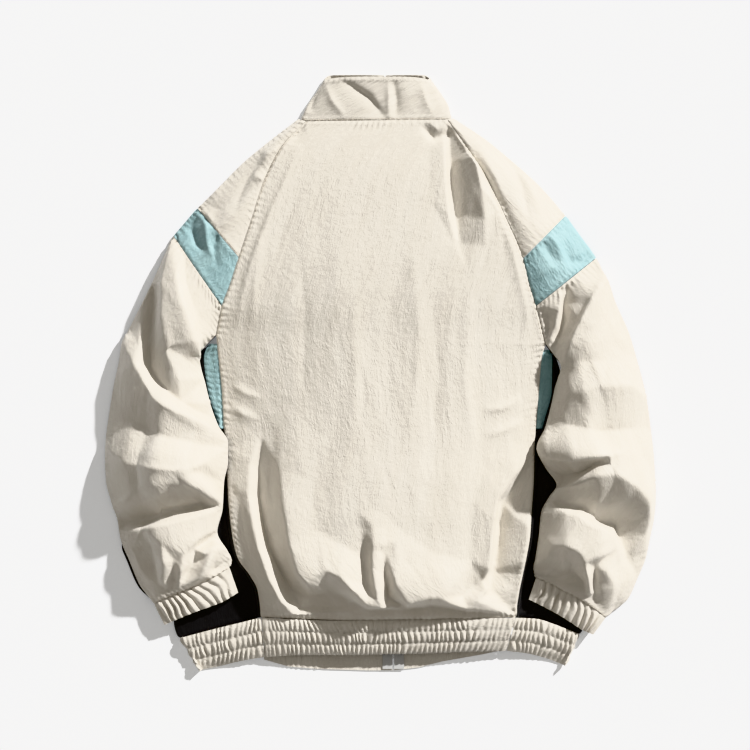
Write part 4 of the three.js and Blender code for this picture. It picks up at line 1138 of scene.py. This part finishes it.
def band_place(rows, t, v):
    at = t * (len(rows["top_x"]) - 1)
    x = lerp(along(rows, "top_x", at), along(rows, "bottom_x", at), v)
    y = lerp(along(rows, "top_y", at), along(rows, "bottom_y", at), v)
    return x, y


def add_waist_back():
    width = np.ptp(WAIST_BACK["top_x"])
    v, t = np.meshgrid(np.linspace(0, 1, 22), np.linspace(0, 1, 210), indexing="ij")
    x, y = band_place(WAIST_BACK, t, v)
    z = WAIST_TOP + band_drop(v) + 6 * np.maximum(np.sin(math.pi * t), 0) ** 0.5
    grid = np.stack([x, y, z], -1)
    relief = GATHER_DEPTH * gathers(t * width, v, 3, GATHER_PITCH, 520) * (0.4 + 0.6 * at_edges(t))
    cloth("waistband_back", grid, CREAM, 1, relief, (1, 1, 0, 0), 0.2)


def waist_side_section(side, v):
    t = np.linspace(0, 0.96, 60)
    x, y = band_place(side["waist"], t, np.full(t.shape, v))
    z = lerp(WAIST_TOP, 11, smoothstep(0, 1, t)) + band_drop(v)
    top = np.stack([x, y, z], -1)
    t = WAIST_FOLD["across"]
    x, y = band_place(side["waist"], t, np.full(t.shape, v))
    return np.concatenate([top, np.stack([x, y, WAIST_FOLD["z"]], -1)])


def add_waist_side(side):
    rows = np.linspace(0, 1, 22)
    sections = np.array([waist_side_section(side, v) for v in rows])
    grid = through(sections, np.linspace(0, 1, 130))
    v = np.broadcast_to(rows[:, None], grid.shape[:2])
    run = edge_distances(grid)[0]
    relief = GATHER_DEPTH * gathers(run, v, 3, GATHER_PITCH, 540 + side["hand"])
    relief = relief * smoothstep(1, 6, grid[..., 2])
    node = f"waistband_side_{side['label']}"
    cloth(node, grid, CREAM, 1, relief, (1, 0, 0, 0), 0.2)


def add_waist_front():
    stripes = [
        ("waistband_front_left", FRONT_HEM["x"][0], TAB_ENDS[0], 1),
        ("front_tab_left", TAB_ENDS[0], None, 0),
        ("front_tab_right", None, TAB_ENDS[1], 0),
        ("waistband_front_right", TAB_ENDS[1], FRONT_HEM["x"][-1], 1),
    ]
    for name, start, end, gathered in stripes:
        v, t = np.meshgrid(np.linspace(0, 1, 14), np.linspace(0, 1, 40), indexing="ij")
        y = lerp(-338, -389, v)
        low = closure_x(y) + ZIP_GAP / 2 if start is None else start
        high = closure_x(y) - ZIP_GAP / 2 if end is None else end
        x = lerp(low + SEAM / 2, high - SEAM / 2, t)
        y = lerp(look_up(FRONT_HEM, "x", "top", x), look_up(FRONT_HEM, "x", "bottom", x), v)
        grid = np.stack([x, y, 0 * x], -1)
        relief = -0.9 * gathered * (1 + gathers(x, v, 3, GATHER_PITCH, 560)) + 0.6 * resting(grid)
        cloth(name, grid, CREAM, -1, np.minimum(relief, 0), pucker=0)


# Collar

COLLAR_CREASES = [
    crease(-4.5, 3, 9, (338, 79), (352, 86), (369, 97), (386, 119)),
    crease(3.5, 3, 5, (389, 80), (389, 100), (389, 120)),
    crease(-3, 5, 3, (394, 80), (396, 100), (396, 119)),
    crease(-4, 4, 4, (309, 112), (313, 94), (320, 79)),
    crease(2.4, 4, 5, (325, 82), (332, 100), (346, 118)),
    crease(2.2, 5, 6, (420, 80), (426, 100), (434, 117)),
    crease(-2, 4, 4, (440, 86), (446, 102), (448, 114)),
]


def collar_section(v):
    left = float(along(COLLAR_SIDES, "left", v * 3))
    right = float(along(COLLAR_SIDES, "right", v * 3))
    closure = closure_x(lerp(float(front_neck(SLIDER_X)), COLLAR_EDGE["front"], v))
    share = np.linspace(0, 1, 12)

    def front(start, end):
        x = lerp(start, end, share)
        y = lerp(front_neck(x) + SEAM, COLLAR_EDGE["front"], v)
        curl = COLLAR_CURL * smoothstep(0.94, 1, v) * np.sin(math.pi * share) ** 0.5
        return np.stack([x, y, lift_over_slider(x, y) + curl], -1)

    def fold(x):
        return [[x, lerp(float(back_neck(x)) + SEAM, COLLAR_EDGE["back"], v), 4.0]]

    left_end = left - COLLAR_SIDES["left"][0] + RAGLAN_LEFT["x"][0]
    right_end = right - COLLAR_SIDES["right"][0] + RAGLAN_RIGHT["x"][0]
    t = np.linspace(0, 1, 40)
    x = lerp(left + 2, right - 2, t)
    dip = COLLAR_CREASE * np.exp(-(((x - 12) / 14) ** 2)) * math.sin(math.pi * v)
    top = lerp(RAGLAN_LEFT["z"][0] + 1, COLLAR_TOP, math.sin(math.pi * 0.6 * v))
    edge_y = COLLAR_EDGE["back"] - 3 * (2 * t - 1) ** 6
    back = np.stack([x, lerp(back_neck(x) + SEAM, edge_y, v), lerp(8, top, dome(t)) - dip], -1)
    return np.concatenate([
        front(closure - ZIP_GAP / 2, left_end), fold(left), back, fold(right),
        front(closure + ZIP_GAP / 2, right_end)[::-1],
    ])


def add_collar():
    grid = section_grid(collar_section, 0, 1, FINE)
    above = smoothstep(5, 9, grid[..., 2])
    relief = worn(grid, COLLAR_CREASES, 600, 0.7) * above
    cloth("collar", grid, CREAM, 1, relief, pucker=0.8)


# Zip

TEETH_PITCH = 2.6
TOOTH = {"width": 3.0, "length": 1.25, "height": 1.9}


def tape_level(y):
    return lift_over_slider(SLIDER_X, y) + WALL + 2 * SEAM


def add_zip_tape(side):
    y = np.concatenate([np.arange(CLOSURE["hem_y"] + 2, COLLAR_EDGE["front"] - 2, 4.0)])
    v, u = np.meshgrid(y, np.linspace(0, 1, 6), indexing="ij")
    x = closure_x(v) + side["hand"] * (ZIP_GAP / 2 + u * ZIP_TAPE_WIDTH)
    grid = np.stack([x, v, tape_level(v)], -1)
    node = f"zip_tape_{side['label']}"
    cloth(node, grid, TAPE, -1, np.zeros_like(x), (0, 0, 0, 0), 0)


def box_faces():
    return np.array([(0, 1, 2, 3), (7, 6, 5, 4), (0, 4, 5, 1), (1, 5, 6, 2), (2, 6, 7, 3), (3, 7, 4, 0)])


def add_teeth(side):
    """Moulded teeth, those of one side between those of the other."""
    shift = TEETH_PITCH / 2 if side is RIGHT else 0
    places = np.arange(CLOSURE["hem_y"] + 16 + shift, COLLAR_EDGE["front"] - 8, TEETH_PITCH)
    points, faces = [], []
    for y in places:
        x = closure_x(y) + side["hand"] * 0.9
        z = tape_level(y) + TAPE_THICK / 2
        inner = 0.62
        w, l, h = (TOOTH[name] / 2 for name in ("width", "length", "height"))
        first = len(points)
        for level, size in ((-h, 0.8), (h, 0.8)):
            narrow = w * size
            points += [(x - narrow, y - l * inner, z + level), (x + narrow, y - l, z + level * 0.8),
                       (x + narrow, y + l, z + level * 0.8), (x - narrow, y + l * inner, z + level)]
        faces += (box_faces() + first).tolist()
    thing = mesh_object(f"zip_teeth_{side['label']}", points, np.array(faces)[:, ::-1], TEETH, 30)


# Sewing

STITCH = {"length": 2.7, "pitch": 3.5, "radius": 0.38, "sides": 4}
TOPSTITCH = 3.0          # from a seam to the row of stitching beside it


def line_beside(node, edge, inset):
    """Points and normals of a line in from one edge of a piece."""
    outer, facing = SURFACES[node]
    distance = edge_distances(outer)[("left", "right", "first", "last").index(edge)]
    points, ups = [], []
    if edge in ("left", "right"):
        lines = range(outer.shape[0])
        pick = lambda a, k: a[k]
    else:
        lines = range(outer.shape[1])
        pick = lambda a, k: a[:, k]
    for k in lines:
        d, p, n = pick(distance, k), pick(outer, k), pick(facing, k)
        order = np.argsort(d)
        points.append([np.interp(inset, d[order], p[order, c]) for c in range(3)])
        ups.append([np.interp(inset, d[order], n[order, c]) for c in range(3)])
    return np.array(points), np.array(ups)


def stitches(name, lines):
    """Rows of short thread loops lying on the cloth along lines."""
    points, faces = [], []
    sides = STITCH["sides"]
    for line, ups in lines:
        gaps = np.linalg.norm(np.diff(line, axis=0), axis=1)
        run = np.concatenate([[0], np.cumsum(gaps)])
        for start in np.arange(1.5, run[-1] - STITCH["length"], STITCH["pitch"]):
            ends = []
            for place in (start, start + STITCH["length"]):
                ends.append([np.interp(place, run, line[:, c]) for c in range(3)])
            a, b = np.array(ends)
            up = np.array([np.interp(start, run, ups[:, c]) for c in range(3)])
            ahead = (b - a) / np.linalg.norm(b - a)
            beside = np.cross(ahead, up)
            beside /= np.linalg.norm(beside)
            up = np.cross(beside, ahead)
            first = len(points)
            for share, radius in ((0, 0.45), (0.5, 1), (1, 0.45)):
                middle = a + (b - a) * share + up * 0.12
                for k in range(sides):
                    turn = 2 * math.pi * (k + 0.5) / sides
                    out = beside * math.cos(turn) + up * math.sin(turn)
                    points.append(middle + out * radius * STITCH["radius"])
            for ring in range(2):
                for k in range(sides):
                    here, there = first + ring * sides + k, first + ring * sides + (k + 1) % sides
                    faces.append((here, there, there + sides, here + sides))
            faces.append(tuple(first + k for k in range(sides))[::-1])
            faces.append(tuple(first + 2 * sides + k for k in range(sides)))
    thing = mesh_object(name, points, faces, THREAD)


def add_stitches():
    stitches("stitches_back", [
        line_beside("back_panel", "left", TOPSTITCH), line_beside("back_panel", "right", TOPSTITCH),
        line_beside("back_panel", "last", 2.2), line_beside("collar", "first", 2.4),
    ])
    for side in (LEFT, RIGHT):
        label = side["label"]
        stitches(f"stitches_sleeve_{label}", [
            line_beside(f"sleeve_back_upper_{label}", "last", 2.4),
            line_beside(f"sleeve_back_lower_{label}", "first", 2.4),
            line_beside(f"sleeve_back_lower_{label}", "last", 2.2),
        ])


# Materials

def shader(name, roughness):
    """A node material and a function that adds a node to it."""
    material = bpy.data.materials.new(name)
    material.use_nodes = True
    tree = material.node_tree
    surface = tree.nodes["Principled BSDF"]
    surface.inputs["Roughness"].default_value = roughness

    def add(kind, **settings):
        node = tree.nodes.new(kind)
        for key, value in settings.items():
            target = node.inputs[key] if key in node.inputs else None
            if target is None:
                setattr(node, key, value)
            elif hasattr(value, "links"):
                tree.links.new(value, target)
            else:
                target.default_value = value
        return node

    return material, tree, surface, add


def nylon(name, light, shade, roughness, sheen, relief):
    """Crinkled woven nylon: two colours, creased grain and a fine weave."""
    material, tree, surface, add = shader(name, roughness)
    surface.inputs["Sheen Weight"].default_value = sheen
    surface.inputs["Sheen Roughness"].default_value = 0.4
    surface.inputs["Specular IOR Level"].default_value = 0.35
    place = add("ShaderNodeAttribute", attribute_name=GRAIN).outputs["Vector"]
    stretched = add("ShaderNodeMapping", Vector=place)
    stretched.inputs["Scale"].default_value = (1, 0.2, 1)
    grain = add("ShaderNodeTexNoise", Vector=stretched.outputs[0], Scale=230.0, Detail=4.0,
                Roughness=0.6, Distortion=0.9)
    folded = add("ShaderNodeMath", operation="SUBTRACT")
    tree.links.new(grain.outputs["Fac"], folded.inputs[0])
    folded.inputs[1].default_value = 0.5
    ridge = add("ShaderNodeMath", operation="ABSOLUTE")
    tree.links.new(folded.outputs[0], ridge.inputs[0])
    cross = add("ShaderNodeTexNoise", Vector=place, Scale=120.0, Detail=5.0, Roughness=0.65)
    mixed = add("ShaderNodeMath", operation="MULTIPLY_ADD")
    tree.links.new(ridge.outputs[0], mixed.inputs[0])
    mixed.inputs[1].default_value = -1.5
    tree.links.new(cross.outputs["Fac"], mixed.inputs[2])
    weave = add("ShaderNodeTexNoise", Vector=place, Scale=2600.0, Detail=1.0)
    woven = add("ShaderNodeMath", operation="MULTIPLY_ADD")
    tree.links.new(weave.outputs["Fac"], woven.inputs[0])
    woven.inputs[1].default_value = 0.12
    tree.links.new(mixed.outputs[0], woven.inputs[2])
    bump = add("ShaderNodeBump", Strength=relief, Distance=0.0011, Height=woven.outputs[0])
    tree.links.new(bump.outputs[0], surface.inputs["Normal"])
    patches = add("ShaderNodeTexNoise", Vector=stretched.outputs[0], Scale=26.0, Detail=6.0,
                  Roughness=0.7)
    ramp = add("ShaderNodeValToRGB", Fac=patches.outputs["Fac"])
    ramp.color_ramp.elements[0].position = 0.32
    ramp.color_ramp.elements[1].position = 0.66
    ramp.color_ramp.elements[0].color = (*shade, 1)
    ramp.color_ramp.elements[1].color = (*light, 1)
    tree.links.new(ramp.outputs[0], surface.inputs["Base Color"])
    return material


def plain_weave(name, color, roughness, scale, strength):
    material, tree, surface, add = shader(name, roughness)
    place = add("ShaderNodeTexCoord").outputs["Object"]
    threads = add("ShaderNodeTexNoise", Vector=place, Scale=scale, Detail=3.0)
    bump = add("ShaderNodeBump", Strength=strength, Distance=0.0003, Height=threads.outputs["Fac"])
    tree.links.new(bump.outputs[0], surface.inputs["Normal"])
    ramp = add("ShaderNodeValToRGB", Fac=threads.outputs["Fac"])
    ramp.color_ramp.elements[0].color = (*(0.86 * c for c in color), 1)
    ramp.color_ramp.elements[1].color = (*color, 1)
    tree.links.new(ramp.outputs[0], surface.inputs["Base Color"])
    return material


def satin_metal(name, color):
    """Cast and tumbled metal with fine brushing."""
    material, tree, surface, add = shader(name, 0.34)
    surface.inputs["Metallic"].default_value = 1.0
    place = add("ShaderNodeTexCoord").outputs["Object"]
    brushed = add("ShaderNodeMapping", Vector=place)
    brushed.inputs["Scale"].default_value = (1, 0.06, 1)
    lines = add("ShaderNodeTexNoise", Vector=brushed.outputs[0], Scale=3400.0, Detail=3.0)
    bump = add("ShaderNodeBump", Strength=0.25, Distance=0.0002, Height=lines.outputs["Fac"])
    tree.links.new(bump.outputs[0], surface.inputs["Normal"])
    ramp = add("ShaderNodeValToRGB", Fac=lines.outputs["Fac"])
    ramp.color_ramp.elements[0].color = (*(0.72 * c for c in color), 1)
    ramp.color_ramp.elements[1].color = (*color, 1)
    tree.links.new(ramp.outputs[0], surface.inputs["Base Color"])
    return material


CREAM = nylon("cream_nylon", (0.76, 0.73, 0.675), (0.69, 0.655, 0.595), 0.5, 0.15, 0.85)
BLUE = nylon("blue_nylon", (0.36, 0.535, 0.565), (0.27, 0.425, 0.46), 0.45, 0.2, 1.3)
BLACK = nylon("black_nylon", (0.014, 0.014, 0.016), (0.008, 0.008, 0.009), 0.5, 0.2, 0.45)
TAPE = plain_weave("zip_tape", (0.60, 0.61, 0.62), 0.75, 1800.0, 0.5)
TEETH = plain_weave("zip_teeth", (0.66, 0.66, 0.65), 0.4, 900.0, 0.15)
THREAD = plain_weave("thread", (0.82, 0.76, 0.67), 0.6, 5200.0, 0.4)
METAL = satin_metal("zip_metal", (0.62, 0.62, 0.63))


# Studio

def add_camera():
    camera = bpy.data.cameras.new("camera")
    camera.sensor_width = SENSOR
    camera.lens = SENSOR * CAMERA_HEIGHT / FIELD
    camera.clip_start, camera.clip_end = 0.01, 20
    thing = bpy.data.objects.new("camera", camera)
    x, y = photo(PICTURE_MIDDLE, PICTURE_MIDDLE)
    thing.location = (x * MM, y * MM, (CAMERA_HEIGHT + CLOTH_LEVEL) * MM)
    bpy.context.scene.collection.objects.link(thing)
    bpy.context.scene.camera = thing


FLOOR_SIZE = 30.0
FLOOR_GLOW = 0.18


def add_floor():
    half = FLOOR_SIZE / 2
    mesh = bpy.data.meshes.new("floor")
    corners = [(-half, -half, -0.0004), (half, -half, -0.0004), (half, half, -0.0004), (-half, half, -0.0004)]
    mesh.from_pydata(corners, [], [(0, 1, 2, 3)])
    material, _, surface, _ = shader("floor", 0.9)
    surface.inputs["Base Color"].default_value = (0.93, 0.955, 1.0, 1)
    surface.inputs["Emission Color"].default_value = (0.96, 0.98, 1.0, 1)
    surface.inputs["Emission Strength"].default_value = FLOOR_GLOW
    mesh.materials.append(material)
    thing = bpy.data.objects.new("floor", mesh)
    bpy.context.scene.collection.objects.link(thing)


KEY_FROM = (0.70, 0.71, 0.43)
KEY_STRENGTH = 6.8
KEY_SOFTNESS = 2.0       # degrees across
FILL = 0.34


def add_light():
    key = bpy.data.lights.new("key", "SUN")
    key.energy = KEY_STRENGTH
    key.angle = math.radians(KEY_SOFTNESS)
    key.color = (1.0, 0.975, 0.94)
    thing = bpy.data.objects.new("key", key)
    thing.rotation_mode = "QUATERNION"
    thing.rotation_quaternion = Vector(KEY_FROM).to_track_quat("Z", "Y")
    bpy.context.scene.collection.objects.link(thing)
    world = bpy.data.worlds.new("fill")
    world.use_nodes = True
    world.node_tree.nodes["Background"].inputs["Color"].default_value = (1.0, 0.95, 0.87, 1)
    world.node_tree.nodes["Background"].inputs["Strength"].default_value = FILL
    bpy.context.scene.world = world
    bpy.context.scene.view_settings.view_transform = "Khronos PBR Neutral"


def paint(node, material):
    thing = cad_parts[node]
    thing.data.materials.clear()
    thing.data.materials.append(material)


def declare_sheets():
    """Gather how large each piece was cut and what it lies on, in a table that is not used further."""
    cuts = {node: (piece, "") for node, piece in CUTS.items()}
    for kind, piece in SIDED_CUTS.items():
        for label in ("left", "right"):
            cuts[f"{kind}_{label}"] = piece, f"_{label}"


add_camera()
add_floor()
add_light()
add_back()
add_collar()
for side in (LEFT, RIGHT):
    add_sleeve(side)
    add_insert(side)
    add_side_panel(side)
    add_front(side)
    add_cuff(side)
    add_waist_side(side)
    add_zip_tape(side)
    add_teeth(side)
add_waist_back()
add_waist_front()
add_stitches()
for node in ("zip_slider", "zip_pull"):
    paint(node, METAL)
declare_sheets()
